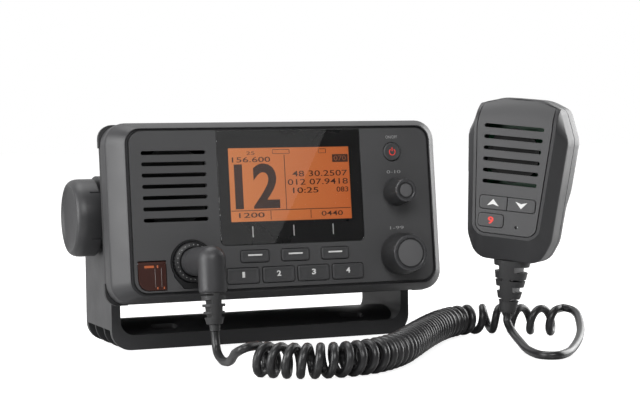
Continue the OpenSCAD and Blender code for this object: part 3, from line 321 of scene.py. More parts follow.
@contextmanager
def editing(obj: bpy.types.Object, mode: str = "VERT") -> Iterator[None]:
    """Edit mode on obj, with nothing selected at the start."""
    only(obj)
    bpy.ops.object.mode_set(mode="EDIT")
    bpy.ops.mesh.select_mode(type=mode)
    bpy.ops.mesh.select_all(action="DESELECT")
    yield
    bpy.ops.object.mode_set(mode="OBJECT")


def corner_arc(a: Point2, b: Point2, c: Point2, radius: float, steps: int) -> list[Point2]:
    """Points that round the corner at b, coming from a and going to c."""
    to_a = (Vector(a) - Vector(b)).normalized()
    to_c = (Vector(c) - Vector(b)).normalized()
    half = to_a.angle(to_c) / 2
    centre = Vector(b) + (to_a + to_c).normalized() * radius / math.sin(half)
    start = Vector(b) + to_a * radius / math.tan(half) - centre
    turn = math.pi - 2 * half
    if to_a.x * to_c.y - to_a.y * to_c.x > 0:
        turn = -turn
    first = math.atan2(start.y, start.x)
    return [(centre.x + radius * math.cos(first + turn * i / steps),
             centre.y + radius * math.sin(first + turn * i / steps)) for i in range(steps + 1)]


def outline(corners: list[Corner], steps: int = 6) -> list[Point2]:
    """Closed outline through corners, each rounded by its own radius.

    Args:
        corners: x, y and radius of each corner, anticlockwise.
        steps: Number of short sides that round a corner.

    Returns:
        The outline's points.
    """
    points: list[Point2] = []
    for i, (x, y, radius) in enumerate(corners):
        before, after = corners[i - 1], corners[(i + 1) % len(corners)]
        points += corner_arc(before[:2], (x, y), after[:2], radius, steps)
    return points


def rectangle(width: float, height: float, radius: float, at: Point2 = (0, 0),
              steps: int = 6) -> list[Point2]:
    """Outline of a rectangle with rounded corners."""
    w, h = width / 2, height / 2
    ring = outline([(w, -h, radius), (w, h, radius), (-w, h, radius), (-w, -h, radius)], steps)
    return [(x + at[0], y + at[1]) for x, y in ring]


def both_sides(right: list[Corner]) -> list[Corner]:
    """Corners of the right half, and the same ones mirrored on the left."""
    return right + [(-x, y, r) for x, y, r in reversed(right)]


def dense(corners: list[Corner], steps: int = 6, spans: int = 14) -> list[Point2]:
    """An outline with as many points on each straight side, so that outlines match each other."""
    ring = outline(corners, steps)
    result: list[Point2] = []
    for i in range(len(corners)):
        arc = ring[i * (steps + 1):(i + 1) * (steps + 1)]
        (x, y), (to_x, to_y) = arc[-1], ring[(i + 1) * (steps + 1) % len(ring)]
        result += arc + [(x + (to_x - x) * k / spans, y + (to_y - y) * k / spans)
                         for k in range(1, spans)]
    return result


def spread(points: list[Point2], by: float) -> list[Point2]:
    """An outline moved outwards along its own normals."""
    result = []
    for i, (x, y) in enumerate(points):
        (x0, y0), (x1, y1) = points[i - 1], points[(i + 1) % len(points)]
        length = math.hypot(x1 - x0, y1 - y0)
        result.append((x + by * (y1 - y0) / length, y - by * (x1 - x0) / length))
    return result


def mixed(a: list[Point2], b: list[Point2], t: float) -> list[Point2]:
    """Outline between two others with as many points."""
    return [(p[0] + (q[0] - p[0]) * t, p[1] + (q[1] - p[1]) * t) for p, q in zip(a, b)]


def level(points: list[Point2], z: float) -> Ring:
    """An outline at one height."""
    return [Vector((x, y, z)) for x, y in points]


def loft(name: str, rings: list[Ring], closed: bool = False) -> bpy.types.Object:
    """Extrudes one loop of edges through a row of rings, and closes the ends.

    Args:
        name: Name of the new piece.
        rings: Rings with the same number of points, in order.
        closed: True if the last ring joins the first, as in a frame with an opening.

    Returns:
        The new mesh object.
    """
    bpy.ops.object.select_all(action="DESELECT")
    count = len(rings[0])
    bpy.ops.mesh.primitive_circle_add(vertices=count, radius=1.0)
    obj = bpy.context.active_object
    obj.name = obj.data.name = name
    bpy.ops.object.mode_set(mode="EDIT")
    bpy.ops.mesh.select_mode(type="VERT")
    cage = bmesh.from_edit_mesh(obj.data)
    cage.verts.ensure_lookup_table()
    for vert, place in zip(cage.verts, rings[0]):
        vert.co = place
    bmesh.update_edit_mesh(obj.data)
    if not closed:
        bpy.ops.mesh.edge_face_add()
    for last, ring in zip(rings, rings[1:]):
        where = {tuple(round(c, 4) for c in p): i for i, p in enumerate(last)}
        if not closed and last is rings[0]:
            cage = bmesh.from_edit_mesh(obj.data)
            for face in cage.faces:
                face.select = False
            for edge in cage.edges:
                edge.select = True
            bmesh.update_edit_mesh(obj.data)
        bpy.ops.mesh.extrude_edges_move()
        cage = bmesh.from_edit_mesh(obj.data)
        for vert in [v for v in cage.verts if v.select]:
            vert.co = ring[where[tuple(round(c, 4) for c in vert.co)]]
        bmesh.update_edit_mesh(obj.data)
    if not closed:
        bpy.ops.mesh.edge_face_add()
    bpy.ops.mesh.select_all(action="SELECT")
    bpy.ops.mesh.remove_doubles(threshold=0.0005)
    bpy.ops.mesh.normals_make_consistent(inside=False)
    bpy.ops.object.mode_set(mode="OBJECT")
    return obj


def slab(name: str, points: list[Point2], low: float, high: float,
         edge: float = 0.0) -> bpy.types.Object:
    """A flat plate of one outline, with its front edge broken by a small chamfer."""
    if edge <= 0:
        return loft(name, [level(points, low), level(points, high)])
    mid_x = sum(p[0] for p in points) / len(points)
    mid_y = sum(p[1] for p in points) / len(points)
    reach_x = max(p[0] for p in points) - mid_x
    reach_y = max(p[1] for p in points) - mid_y
    inner = [(mid_x + (x - mid_x) * (1 - edge / reach_x),
              mid_y + (y - mid_y) * (1 - edge / reach_y)) for x, y in points]
    return loft(name, [level(points, low), level(points, high - edge), level(inner, high)])


def turned(name: str, profile: list[Point2], sides: int = 64) -> bpy.types.Object:
    """A turned piece whose axis is z, from the radius and height of each step."""
    turn = [math.tau * i / sides for i in range(sides)]
    return loft(name, [[Vector((r * math.cos(a), r * math.sin(a), z)) for a in turn]
                       for r, z in profile])


def modify(obj: bpy.types.Object, kind: str, **settings: object) -> None:
    """Adds a modifier, sets it and applies it."""
    only(obj)
    bpy.ops.object.modifier_add(type=kind)
    modifier = obj.modifiers[-1]
    for key, value in settings.items():
        setattr(modifier, key, value)
    bpy.ops.object.modifier_apply(modifier=modifier.name)


def soften(obj: bpy.types.Object, width: float, segments: int = 2, angle: float = 30) -> None:
    """Rounds the sharp edges of a piece."""
    modify(obj, "BEVEL", width=width, segments=segments, limit_method="ANGLE",
           angle_limit=math.radians(angle), miter_outer="MITER_ARC", harden_normals=False)


def cut(obj: bpy.types.Object, tool: bpy.types.Object, operation: str = "DIFFERENCE") -> None:
    """Cuts obj with a tool, or joins the two, and removes the tool."""
    modify(obj, "BOOLEAN", object=tool, operation=operation, solver="EXACT")
    bpy.data.objects.remove(tool, do_unlink=True)


def joined(name: str, pieces: list[bpy.types.Object]) -> bpy.types.Object:
    """Joins meshes into one piece under a name."""
    only(pieces[0])
    for piece in pieces[1:]:
        piece.select_set(True)
    if len(pieces) > 1:
        bpy.ops.object.join()
    obj = bpy.context.active_object
    obj.name = obj.data.name = name
    return obj


def copied(obj: bpy.types.Object, places: list[Matrix]) -> list[bpy.types.Object]:
    """Copies of a piece, each with its own mesh, at several places. The first one is kept out."""
    made = []
    for place in places:
        only(obj)
        bpy.ops.object.duplicate(linked=False)
        twin = bpy.context.active_object
        twin.data.transform(place)
        made.append(twin)
    bpy.data.objects.remove(obj, do_unlink=True)
    return made


def fitted(name: str, text: str, size: Point2, at: Point2, z: float, bold: float = 0.0,
           thick: float = 0.05) -> bpy.types.Object:
    """Plain figures as a thin raised print, stretched to a width and a height.

    Args:
        name: Name of the new piece.
        text: The figures.
        size: Width and height of the whole print.
        at: Its middle in the x-y plane.
        z: Height of its middle.
        bold: How much wider each stroke is on both sides.
        thick: Thickness of the print.

    Returns:
        The new piece.
    """
    bpy.ops.object.select_all(action="DESELECT")
    bpy.ops.object.text_add(location=(0, 0, 0))
    obj = bpy.context.active_object
    obj.data.body = text
    obj.data.size = size[1] * EM_PER_FIGURE
    obj.data.extrude = thick / 2
    obj.data.offset = bold
    obj.data.align_x = "CENTER"
    obj.data.align_y = "CENTER"
    obj.data.resolution_u = 4
    bpy.ops.object.convert(target="MESH")
    obj = bpy.context.active_object
    xs, ys = [v.co.x for v in obj.data.vertices], [v.co.y for v in obj.data.vertices]
    wide, high = max(xs) - min(xs), max(ys) - min(ys)
    stretch = Matrix.Diagonal((size[0] / wide, size[1] / high, 1, 1))
    obj.data.transform(_shift(at[0], at[1], z) @ stretch
                       @ _shift(-(max(xs) + min(xs)) / 2, -(max(ys) + min(ys)) / 2, 0))
    obj.name = obj.data.name = name
    return obj


def painted(obj: bpy.types.Object, finish: Finish | ClearGlass | LitScreen) -> bpy.types.Object:
    """Gives the whole piece one finish."""
    obj.data.materials.clear()
    obj.data.materials.append(finish.material())
    return obj


def placed(obj: bpy.types.Object, place: Matrix, body: str, slot: str, *stands_for: str,
           smooth: float = 35) -> bpy.types.Object:
    """Moves a finished piece to its place, shades it, hangs it on its body and hides the solids
    that it replaces.

    Args:
        obj: The piece, in the millimetres of its own frame.
        place: Matrix from that frame to the part's frame.
        body: Body that the piece rides on.
        slot: Not used.
        stands_for: Nodes that the piece replaces.
        smooth: Largest angle between faces that is shaded smooth.

    Returns:
        The same piece.
    """
    obj.data.transform(place)
    obj.data.update()
    only(obj)
    bpy.ops.object.shade_smooth_by_angle(angle=math.radians(smooth))
    modify(obj, "WEIGHTED_NORMAL", keep_sharp=True, weight=80)
    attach(obj, body)
    if stands_for:
        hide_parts(*stands_for)
    log.info("%s rides on %s, %d faces", obj.name, body, len(obj.data.polygons))
    return obj


def dressed(node: str, name: str, finish: Finish, body: str, slot: str, edge: float,
            smooth: float = 35, merge: float = 1.5) -> bpy.types.Object:
    """A copy of a solid with its flat faces merged, its edges rounded and a finish.

    Args:
        node: The solid's node.
        name: Name of the new piece.
        finish: Finish of the whole piece.
        body: Body that the piece rides on.
        slot: Not used; it is only passed on to placed.
        edge: Width of the rounded edges, in millimetres.
        smooth: Largest angle between faces that is shaded smooth.
        merge: Largest angle between faces that are merged into one.

    Returns:
        The new piece.
    """
    obj = bpy.data.objects.new(name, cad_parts[node].data.copy())
    bpy.context.scene.collection.objects.link(obj)
    obj.data.name = name
    with editing(obj):
        bpy.ops.mesh.select_all(action="SELECT")
        bpy.ops.mesh.customdata_custom_splitnormals_clear()
        bpy.ops.mesh.remove_doubles(threshold=0.00001)
        bpy.ops.mesh.dissolve_limited(angle_limit=math.radians(merge))
    if edge > 0:
        soften(obj, edge * MM)
    painted(obj, finish)
    return placed(obj, Matrix.Identity(4), body, slot, node, smooth=smooth)


def repaint(finish: Finish, *nodes: str) -> None:
    """Gives solids whose shape is right a better material."""
    for node in nodes:
        painted(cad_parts[node], finish)


# ---------------------------------------------------------------- studio


@dataclass
class Studio:
    """Camera, soft lamps, white surroundings, and the card that the display glass reflects."""

    target: Point2 = (32.75, -18.2)
    target_z: float = 65.97
    distance: float = 824.33
    azimuth: float = 22.26
    elevation: float = 2.32
    roll: float = -0.85
    focal_pixels: float = 1624.18
    image: tuple[int, int] = (640, 414)
    sensor: float = 36.0
    middle: Corner = (20, -40, 60)
    lamps: list[tuple[str, Corner, Point2, float]] = field(default_factory=lambda: [
        ("left softbox", (-1000, -150, 260), (700, 900), 12),
        ("front softbox", (-350, -1250, 900), (900, 500), 11),
        ("right softbox", (1100, 250, 320), (900, 900), 10),
        ("top softbox", (-100, 300, 1300), (900, 700), 7)])
    window: list[Point2] = field(default_factory=lambda: [
        (150, 60), (331, 60), (331, 119), (267, 262), (150, 262)])
    backdrop: list[Point2] = field(default_factory=lambda: [
        (60, 20), (440, 20), (440, 330), (60, 330)])
    front_light: float = 0.1
    back_light: float = 0.75
    floor_lift: float = 0.85

    def axes(self) -> tuple[Vector, Vector, Vector]:
        """The camera's right, up and backward directions."""
        az, el, roll = (math.radians(a) for a in (self.azimuth, self.elevation, self.roll))
        back = Vector((-math.sin(az) * math.cos(el), -math.cos(az) * math.cos(el), math.sin(el)))
        right = Vector((math.cos(az), -math.sin(az), 0))
        up = back.cross(right)
        return (right * math.cos(roll) + up * math.sin(roll),
                up * math.cos(roll) - right * math.sin(roll), back)

    @property
    def position(self) -> Vector:
        """The camera's place in millimetres."""
        return Vector((*self.target, self.target_z)) + self.axes()[2] * self.distance

    def camera(self) -> None:
        """Sets up the camera at the photograph's place."""
        right, up, back = self.axes()
        lens = self.focal_pixels / self.image[0] * self.sensor
        bpy.ops.object.camera_add()
        camera = bpy.context.active_object
        camera.name = "camera"
        turn = Matrix((right, up, back)).transposed().to_4x4()
        camera.matrix_world = Matrix.Translation(self.position * MM) @ turn
        camera.data.sensor_width = self.sensor
        camera.data.lens = lens
        camera.data.clip_start = 0.01
        bpy.context.scene.camera = camera

    def seen_in_glass(self, pixel: Point2, reach: float) -> Vector:
        """Where the camera sees to, by way of the display glass, at a distance in millimetres."""
        right, up, back = self.axes()
        ray = (right * (pixel[0] - self.image[0] / 2) / self.focal_pixels
               - up * (pixel[1] - self.image[1] / 2) / self.focal_pixels - back).normalized()
        to_mm = METRES.inverted() @ FACE
        origin = to_mm @ Vector((0, 0, 0))
        normal = (to_mm.to_3x3() @ Vector((0, 0, 1))).normalized()
        along = (origin - self.position).dot(normal) / ray.dot(normal)
        mirrored = ray - 2 * ray.dot(normal) * normal
        return self.position + ray * along + mirrored * reach

    def card(self, name: str, pixels: list[Point2], reach: float, strength: float) -> None:
        """A flat card that only reflections see, placed by its outline in the glass."""
        bpy.ops.object.select_all(action="DESELECT")
        bpy.ops.mesh.primitive_circle_add(vertices=len(pixels), radius=1.0, fill_type="NGON")
        obj = bpy.context.active_object
        obj.name = obj.data.name = name
        for vert, pixel in zip(obj.data.vertices, pixels):
            vert.co = self.seen_in_glass(pixel, reach) * MM
        made = bpy.data.materials.new(name)
        made.use_nodes = True
        nodes, links = made.node_tree.nodes, made.node_tree.links
        nodes.remove(nodes["Principled BSDF"])
        light = nodes.new("ShaderNodeEmission")
        light.inputs["Strength"].default_value = strength
        links.new(light.outputs["Emission"], nodes["Material Output"].inputs["Surface"])
        obj.data.materials.append(made)
        obj.visible_camera = obj.visible_diffuse = obj.visible_shadow = False
        obj.visible_transmission = False

    def floor(self) -> None:
        """A white floor that keeps soft shadows and a faint reflection."""
        bpy.ops.object.select_all(action="DESELECT")
        bpy.ops.mesh.primitive_plane_add(size=30)
        obj = bpy.context.active_object
        obj.name = obj.data.name = "floor"
        made = bpy.data.materials.new("white floor")
        made.use_nodes = True
        nodes, links = made.node_tree.nodes, made.node_tree.links
        nodes.remove(nodes["Principled BSDF"])
        matt = nodes.new("ShaderNodeBsdfDiffuse")
        matt.inputs["Color"].default_value = (0.5, 0.5, 0.5, 1)
        gloss = nodes.new("ShaderNodeBsdfGlossy")
        gloss.inputs["Color"].default_value = (1, 1, 1, 1)
        gloss.inputs["Roughness"].default_value = 0.12
        sheen = nodes.new("ShaderNodeMixShader")
        sheen.inputs["Fac"].default_value = 0.14
        links.new(matt.outputs["BSDF"], sheen.inputs[1])
        links.new(gloss.outputs["BSDF"], sheen.inputs[2])
        white = nodes.new("ShaderNodeEmission")
        rays = nodes.new("ShaderNodeLightPath")
        share = nodes.new("ShaderNodeMath")
        share.operation = "MULTIPLY"
        share.inputs[1].default_value = self.floor_lift
        links.new(rays.outputs["Is Camera Ray"], share.inputs[0])
        links.new(share.outputs["Value"], white.inputs["Strength"])
        both = nodes.new("ShaderNodeAddShader")
        links.new(sheen.outputs["Shader"], both.inputs[0])
        links.new(white.outputs["Emission"], both.inputs[1])
        links.new(both.outputs["Shader"], nodes["Material Output"].inputs["Surface"])
        obj.data.materials.append(made)

    def world(self) -> None:
        """Surroundings that are white to the camera, and bright behind the object for its sides."""
        world = bpy.data.worlds.new("surroundings")
        bpy.context.scene.world = world
        world.use_nodes = True
        nodes, links = world.node_tree.nodes, world.node_tree.links
        shade = nodes["Background"]
        shade.inputs["Color"].default_value = (1, 1, 1, 1)
        place = nodes.new("ShaderNodeTexCoord")
        split = nodes.new("ShaderNodeSeparateXYZ")
        links.new(place.outputs["Generated"], split.inputs["Vector"])
        fall = nodes.new("ShaderNodeMapRange")
        fall.interpolation_type = "SMOOTHSTEP"
        fall.inputs["From Min"].default_value = -0.35
        fall.inputs["From Max"].default_value = 0.85
        fall.inputs["To Min"].default_value = self.front_light
        fall.inputs["To Max"].default_value = self.back_light
        links.new(split.outputs["Y"], fall.inputs["Value"])
        rays = nodes.new("ShaderNodeLightPath")
        seen = nodes.new("ShaderNodeMix")
        links.new(rays.outputs["Is Camera Ray"], seen.inputs["Factor"])
        links.new(fall.outputs["Result"], seen.inputs["A"])
        seen.inputs["B"].default_value = 1.0
        links.new(seen.outputs["Result"], shade.inputs["Strength"])

    def lamp(self, name: str, place: Vector, aim: Vector, size: Point2, power: float) -> None:
        """A rectangular soft lamp, with its place and aim in millimetres."""
        bpy.ops.object.light_add(type="AREA")
        lamp = bpy.context.active_object
        lamp.name = name
        lamp.data.shape = "RECTANGLE"
        lamp.data.size, lamp.data.size_y = size[0] * MM, size[1] * MM
        lamp.data.energy = power
        lamp.matrix_world = (Matrix.Translation(place * MM)
                             @ (place - aim).to_track_quat("Z", "Y").to_matrix().to_4x4())

    def build(self) -> None:
        """Sets the whole studio up."""
        self.floor()
        self.world()
        for name, place, size, power in self.lamps:
            self.lamp(name, Vector(place), Vector(self.middle), size, power)
        self.card("window card", self.window, 1200, 0.85)
        self.card("black card", self.backdrop, 1300, 0.03)
        bpy.context.scene.view_settings.view_transform = "Standard"


# ---------------------------------------------------------------- cord


@dataclass
class Cord:
    """The handset's cord: a straight lead, left-handed curls and a straight end, as one tube."""

    wire: float = 3.9
    curl_radius: float = 5.8
    rings_per_curl: int = 20
    relief_tip: Corner = (-48.2, -89.3382, 14.7051)
    relief_way: Corner = (0.0, -0.100188, -0.994969)
    handset_tip: Corner = (105.923, -80.2944, 14.1857)
    handset_way: Corner = (-0.0699432, 0.0776798, -0.994522)
    lead: list[Corner] = field(default_factory=lambda: [
        (-48.5, -93, 5.5), (-49.5, -103, 3.2), (-51, -115, 4.2), (-53.5, -127, 7),
        (-55, -136, 10.5), (-54, -142.5, 13)])
    stations: list[Corner] = field(default_factory=lambda: [
        (-46, -138, 2.4), (-37, -148, 2.2), (-26, -154.5, 2.5), (-12, -156, 2.9),
        (4, -150.5, 3.9), (20, -137, 4.4), (34, -119, 4.8), (48, -100, 5), (63, -80.5, 4.4),
        (77.5, -63.5, 3), (90.5, -52, 1.7), (102, -47.5, 1.3), (113.5, -49.5, 1.4),
        (124.5, -58.5, 2.1), (137, -75, 0)])
    end: list[Corner] = field(default_factory=lambda: [
        (141.2, -74.2, 14), (143.8, -77.4, 13.2), (143.2, -83.6, 11.5), (138.4, -94, 8.9),
        (130.5, -107.7, 6.2), (118.7, -124.4, 4), (105.5, -140.4, 2.4), (97.6, -148, 2.1),
        (91.6, -151.4, 2.1), (87.2, -148.9, 2.1), (86.4, -142.2, 2.1), (90.4, -126.6, 2.2),
        (98.4, -106, 2.9), (103.9, -90.5, 4.3), (105.4, -83.4, 6.9)])

    @staticmethod
    def spline(points: list[Vector], i: int, t: float) -> Vector:
        """A point of the smooth line through points, t of the way from point i to the next."""
        a, b = points[max(i - 1, 0)], points[i]
        c, d = points[i + 1], points[min(i + 2, len(points) - 1)]
        return 0.5 * (2 * b + (c - a) * t + (2 * a - 5 * b + 4 * c - d) * t * t
                      + (3 * b - a - 3 * c + d) * t ** 3)

    def smooth(self, points: list[Vector], step: float) -> list[Vector]:
        """Evenly stepped points of the smooth line through points, without the last one."""
        line = []
        for i, (a, b) in enumerate(zip(points, points[1:])):
            count = max(1, round((b - a).length / step))
            line += [self.spline(points, i, k / count) for k in range(count)]
        return line

    def curl(self, turns: float) -> Vector:
        """The curls' middle line after a number of turns."""
        axis = [Vector((x, y, self.curl_radius + self.wire / 2)) for x, y, _ in self.stations]
        before, i = 0.0, 0
        while i < len(axis) - 2 and before + self.stations[i][2] <= turns + 1e-6:
            before += self.stations[i][2]
            i += 1
        t = (turns - before) / self.stations[i][2]
        ahead = self.spline(axis, i, t + 0.01) - self.spline(axis, i, t - 0.01)
        side = Vector((-ahead.y, ahead.x, 0)).normalized()
        angle = math.tau * turns
        return (self.spline(axis, i, t)
                + self.curl_radius * (math.cos(angle) * Vector((0, 0, 1)) + math.sin(angle) * side))

    def route(self) -> list[Vector]:
        """The cord's middle line from the plug to the handset, in millimetres."""
        turns = round(sum(s[2] for s in self.stations))
        first = (self.curl(0.01) - self.curl(0)).normalized()
        last = (self.curl(turns) - self.curl(turns - 0.01)).normalized()
        start, stop = self.curl(0), self.curl(turns)
        tip, way = Vector(self.relief_tip), Vector(self.relief_way)
        lead = [tip, tip + self.wire * way, *map(Vector, self.lead),
                start - 1.5 * self.wire * first, start - self.wire * first]
        count = turns * self.rings_per_curl
        curls = [self.curl(k / self.rings_per_curl) for k in range(count + 1)]
        there, out = Vector(self.handset_tip), Vector(self.handset_way)
        end = [stop + self.wire * last, stop + 1.5 * self.wire * last, *map(Vector, self.end),
               there + self.wire * out, there]
        return self.smooth(lead, 1.6) + curls + self.smooth(end, 1.6) + [there]

    def build(self) -> None:
        line = [p * MM for p in self.route()]
        curve = bpy.data.curves.new("cord line", "CURVE")
        curve.dimensions = "3D"
        curve.bevel_depth = self.wire * MM / 2
        curve.bevel_resolution = 3
        curve.use_fill_caps = True
        run = curve.splines.new("POLY")
        run.points.add(len(line) - 1)
        for point, place in zip(run.points, line):
            point.co = (*place, 1.0)
        obj = bpy.data.objects.new("cord", curve)
        bpy.context.scene.collection.objects.link(obj)
        only(obj)
        bpy.ops.object.convert(target="MESH")
        obj = bpy.context.active_object
        obj.name = obj.data.name = "cord"
        painted(obj, CORD_JACKET)
        only(obj)
        bpy.ops.object.shade_smooth_by_angle(angle=math.radians(50))
        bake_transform(obj)
        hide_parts("cord_lead", "curly_cord", "cord_end")


# ---------------------------------------------------------------- stand


@dataclass
class Stand:
    """The U-shaped stand with its clamp knobs, washers and studs."""

    knob_radius: float = 19.0
    knob_foot: float = 1.35
    knob_length: float = 12.6

    def clamp_knob(self, side: Side) -> None:
        """A smooth round knob with a dished face and a few short grip notches."""
        r, z, top = self.knob_radius, self.knob_foot, self.knob_foot + self.knob_length
        obj = turned(f"{side.word}_clamp_knob", [
            (4.2, z), (r - 1.4, z), (r - 0.5, z + 0.3), (r, z + 1.1), (r, top - 4.8),
            (r - 0.12, top - 3.4), (r - 0.5, top - 2), (r - 1.2, top - 0.8), (r - 1.9, top - 0.2),
            (r - 2.5, top), (r - 3.1, top - 0.2), (r - 3.8, top - 0.9), (r - 5, top - 1.6),
            (r - 8.5, top - 2.2), (4, top - 2.6), (0.4, top - 2.7)], 144)
        notch = slab("notch", rectangle(1.0, 1.1, 0.45), z - 1, z + 5.4)
        places = [_turn(24 + 72 * i, "Z") @ _shift(r, 0, 0) for i in range(5)]
        cut(obj, joined("notches", copied(notch, places)))
        painted(obj, SATIN_GREY)
        placed(obj, side.frame, f"{side.word}_knob", "satin_dark_plastic", f"{side.word}_knob")

    def build(self) -> None:
        """Builds the stand's pieces."""
        dressed("bracket", "stand_frame", STAND_GREY, "stand", "stand_plastic", 0.7, merge=0.05)
        for side in Side:
            self.clamp_knob(side)
            repaint(STEEL, f"{side.word}_stud")
            washer = f"{side.word}_washer"
            dressed(washer, f"{side.word}_steel_washer", STEEL, washer, "stainless", 0.15)


# ---------------------------------------------------------------- the radio's face


@dataclass
class Face:
    """Bezel, panel, glass and lit screen."""

    glass: Corner = (73.7, 54.4, 2.6)
    glass_at: Point2 = (3.3, 10.15)
    screen: Point2 = (61.5, 34.5)
    screen_at: Point2 = (3.3, 11.4)

    def bezel(self) -> None:
        """The moulded frame: a thin lip, four broad slopes and rounded sides."""
        steps = [
            (76.3, 37.7, 5.9, -2.6), (76.3, 37.7, 5.9, -1.7), (77.45, 38.5, 6.8, -1.7),
            (77.5, 38.55, 6.9, -0.75), (77.62, 38.65, 7.0, -0.45), (77.9, 38.85, 7.15, -0.3),
            (78.2, 39.05, 7.3, -0.42), (78.5, 39.22, 7.4, -0.85), (80.2, 40.1, 8.1, -2.9),
            (82.3, 41.15, 8.9, -5.75), (84.3, 42.13, 9.6, -8.8), (84.72, 42.33, 9.82, -9.45),
            (84.93, 42.45, 9.95, -10.1), (85, 42.5, 10, -10.8), (85, 42.5, 10, -18.5),
            (84.85, 42.35, 9.85, -18.95), (84.5, 42, 9.5, -19.2), (82.4, 39.9, 7.4, -19.2),
            (82.4, 39.9, 7.4, -10.4), (75.6, 36.6, 5, -5.6), (74.2, 35.5, 4, -2.6),
            (76.3, 37.7, 5.9, -2.6)]
        rings = [level(rectangle(2 * w, 2 * h, r, steps=8), z) for w, h, r, z in steps]
        obj = painted(loft("bezel", rings, closed=True), SATIN_GREY)
        placed(obj, FACE, "radio", "satin_dark_plastic", "front_bezel", smooth=50)

    def pane(self) -> None:
        """The clear pane, the black print behind it and its three white lines."""
        w, h, r = self.glass
        ring = outline([(w / 2, -h / 2, r), (w / 2, h / 2, 0.3), (-w / 2, h / 2, 0.3),
                        (-w / 2, -h / 2, r)])
        ring = [(x + self.glass_at[0], y + self.glass_at[1]) for x, y in ring]
        clear = painted(slab("display_pane", ring, -0.9, 0.02, 0.15), PANE)
        placed(clear, FACE, "radio", "display_glass", "display_glass")
        mask = slab("display_mask", ring, -1.2, -0.95)
        window = slab("window tool", rectangle(self.screen[0] + 0.6, self.screen[1] + 0.6, 0.3,
                                               self.screen_at), -2, 1)
        cut(mask, window)
        painted(mask, BLACK_MASK)
        placed(mask, FACE, "radio", "black_plastic")
        lines = [slab("line", rectangle(0.5, 5.2, 0.2, (u, -11.0)), -0.95, -0.92)
                 for u in (-17.2, 3.7, 24.1)]
        marks = painted(joined("pane_lines", lines), WHITE_PRINT)
        placed(marks, FACE, "radio", "key_plastic")

    def lit_screen(self) -> None:
        """The lit screen with plain figures and rules on it."""
        w, h = self.screen
        u, v = self.screen_at
        plate = slab("lit_screen", rectangle(w + 1.4, h + 1.4, 0.3, self.screen_at), -1.46, -1.3)
        painted(plate, LitScreen("lit screen"))
        placed(plate, FACE, "radio", "screen")
        right, top, low = u + w / 2, v + h / 2, v - h / 2
        z = -1.28
        figures = [
            ("12", (22.6, 21.6), (-13.8, 10.7), 0.75),
            ("156.600", (19.4, 2.5), (-16.2, 23.4), 0.02),
            ("48 30.2507", (28.8, 2.8), (18.8, 16.2), 0.02),
            ("012 07.9418", (31.4, 2.8), (17.6, 12.2), 0.02),
            ("10:25", (13.2, 2.7), (11, 8.2), 0.03), ("083", (6.2, 2.5), (30.2, 8.2), 0.03),
            ("1200", (13, 2.4), (-17.2, -3.1), 0.03), ("0440", (11.2, 2.4), (24.2, -3.3), 0.03),
            ("25", (4.2, 1.6), (-16.4, 26.5), 0)]
        bars = [
            (w, 0.35, (u, -0.9)), (0.35, 26.2, (0.7, 12.3)), (0.35, 4.2, (-7.5, low + 2.5)),
            (0.35, 4.2, (13.1, low + 2.5)), (8.2, 3.8, (right - 4.3, 23.4))]
        dark = [fitted("figures", text, size, at, z, bold) for text, size, at, bold in figures]
        dark += [slab("bar", rectangle(wide, high, 0.1, at), z, z + 0.03)
                 for wide, high, at in bars]
        placed(painted(joined("screen_figures", dark), DARK_SEGMENT), FACE, "radio", "screen")
        pale = [fitted("flag", "070", (6.4, 2.4), (right - 4.4, 23.4), z + 0.04, 0.02)]
        placed(painted(joined("screen_flag_figures", pale), PALE_SEGMENT), FACE, "radio", "screen")
        faint = [slab("mark", rectangle(length, 2.0, 0.2, (at, top - 1.6)), z - 0.01, z + 0.01)
                 for at, length in ((-0.9, 8.6), (20.5, 3.8))]
        for mark in faint:
            modify(mark, "WIREFRAME", thickness=0.3, use_replace=True)
        placed(painted(joined("screen_marks", faint), DARK_SEGMENT), FACE, "radio", "screen")

    def dial_marks(self) -> None:
        """Plain signs and figures by the power button and the two knobs, in thin print."""
        z = 0.02
        prints = [fitted("mark", "ON/OFF", (6.2, 1.5), (57.4, 33.2), z),
                  fitted("mark", "0-10", (7.4, 1.5), (57.6, 16.0), z),
                  fitted("mark", "1-99", (7.4, 1.5), (57.8, -11.6), z)]
        placed(painted(joined("panel_marks", prints), GREY_PRINT_AND_GLINTS), FACE, "radio", "key_plastic")

    def build(self) -> None:
        """Builds the face."""
        self.bezel()
        dressed("front_panel", "face_panel", PANEL_GREY, "radio", "panel_plastic", 0.22)
        self.pane()
        self.lit_screen()
        self.dial_marks()


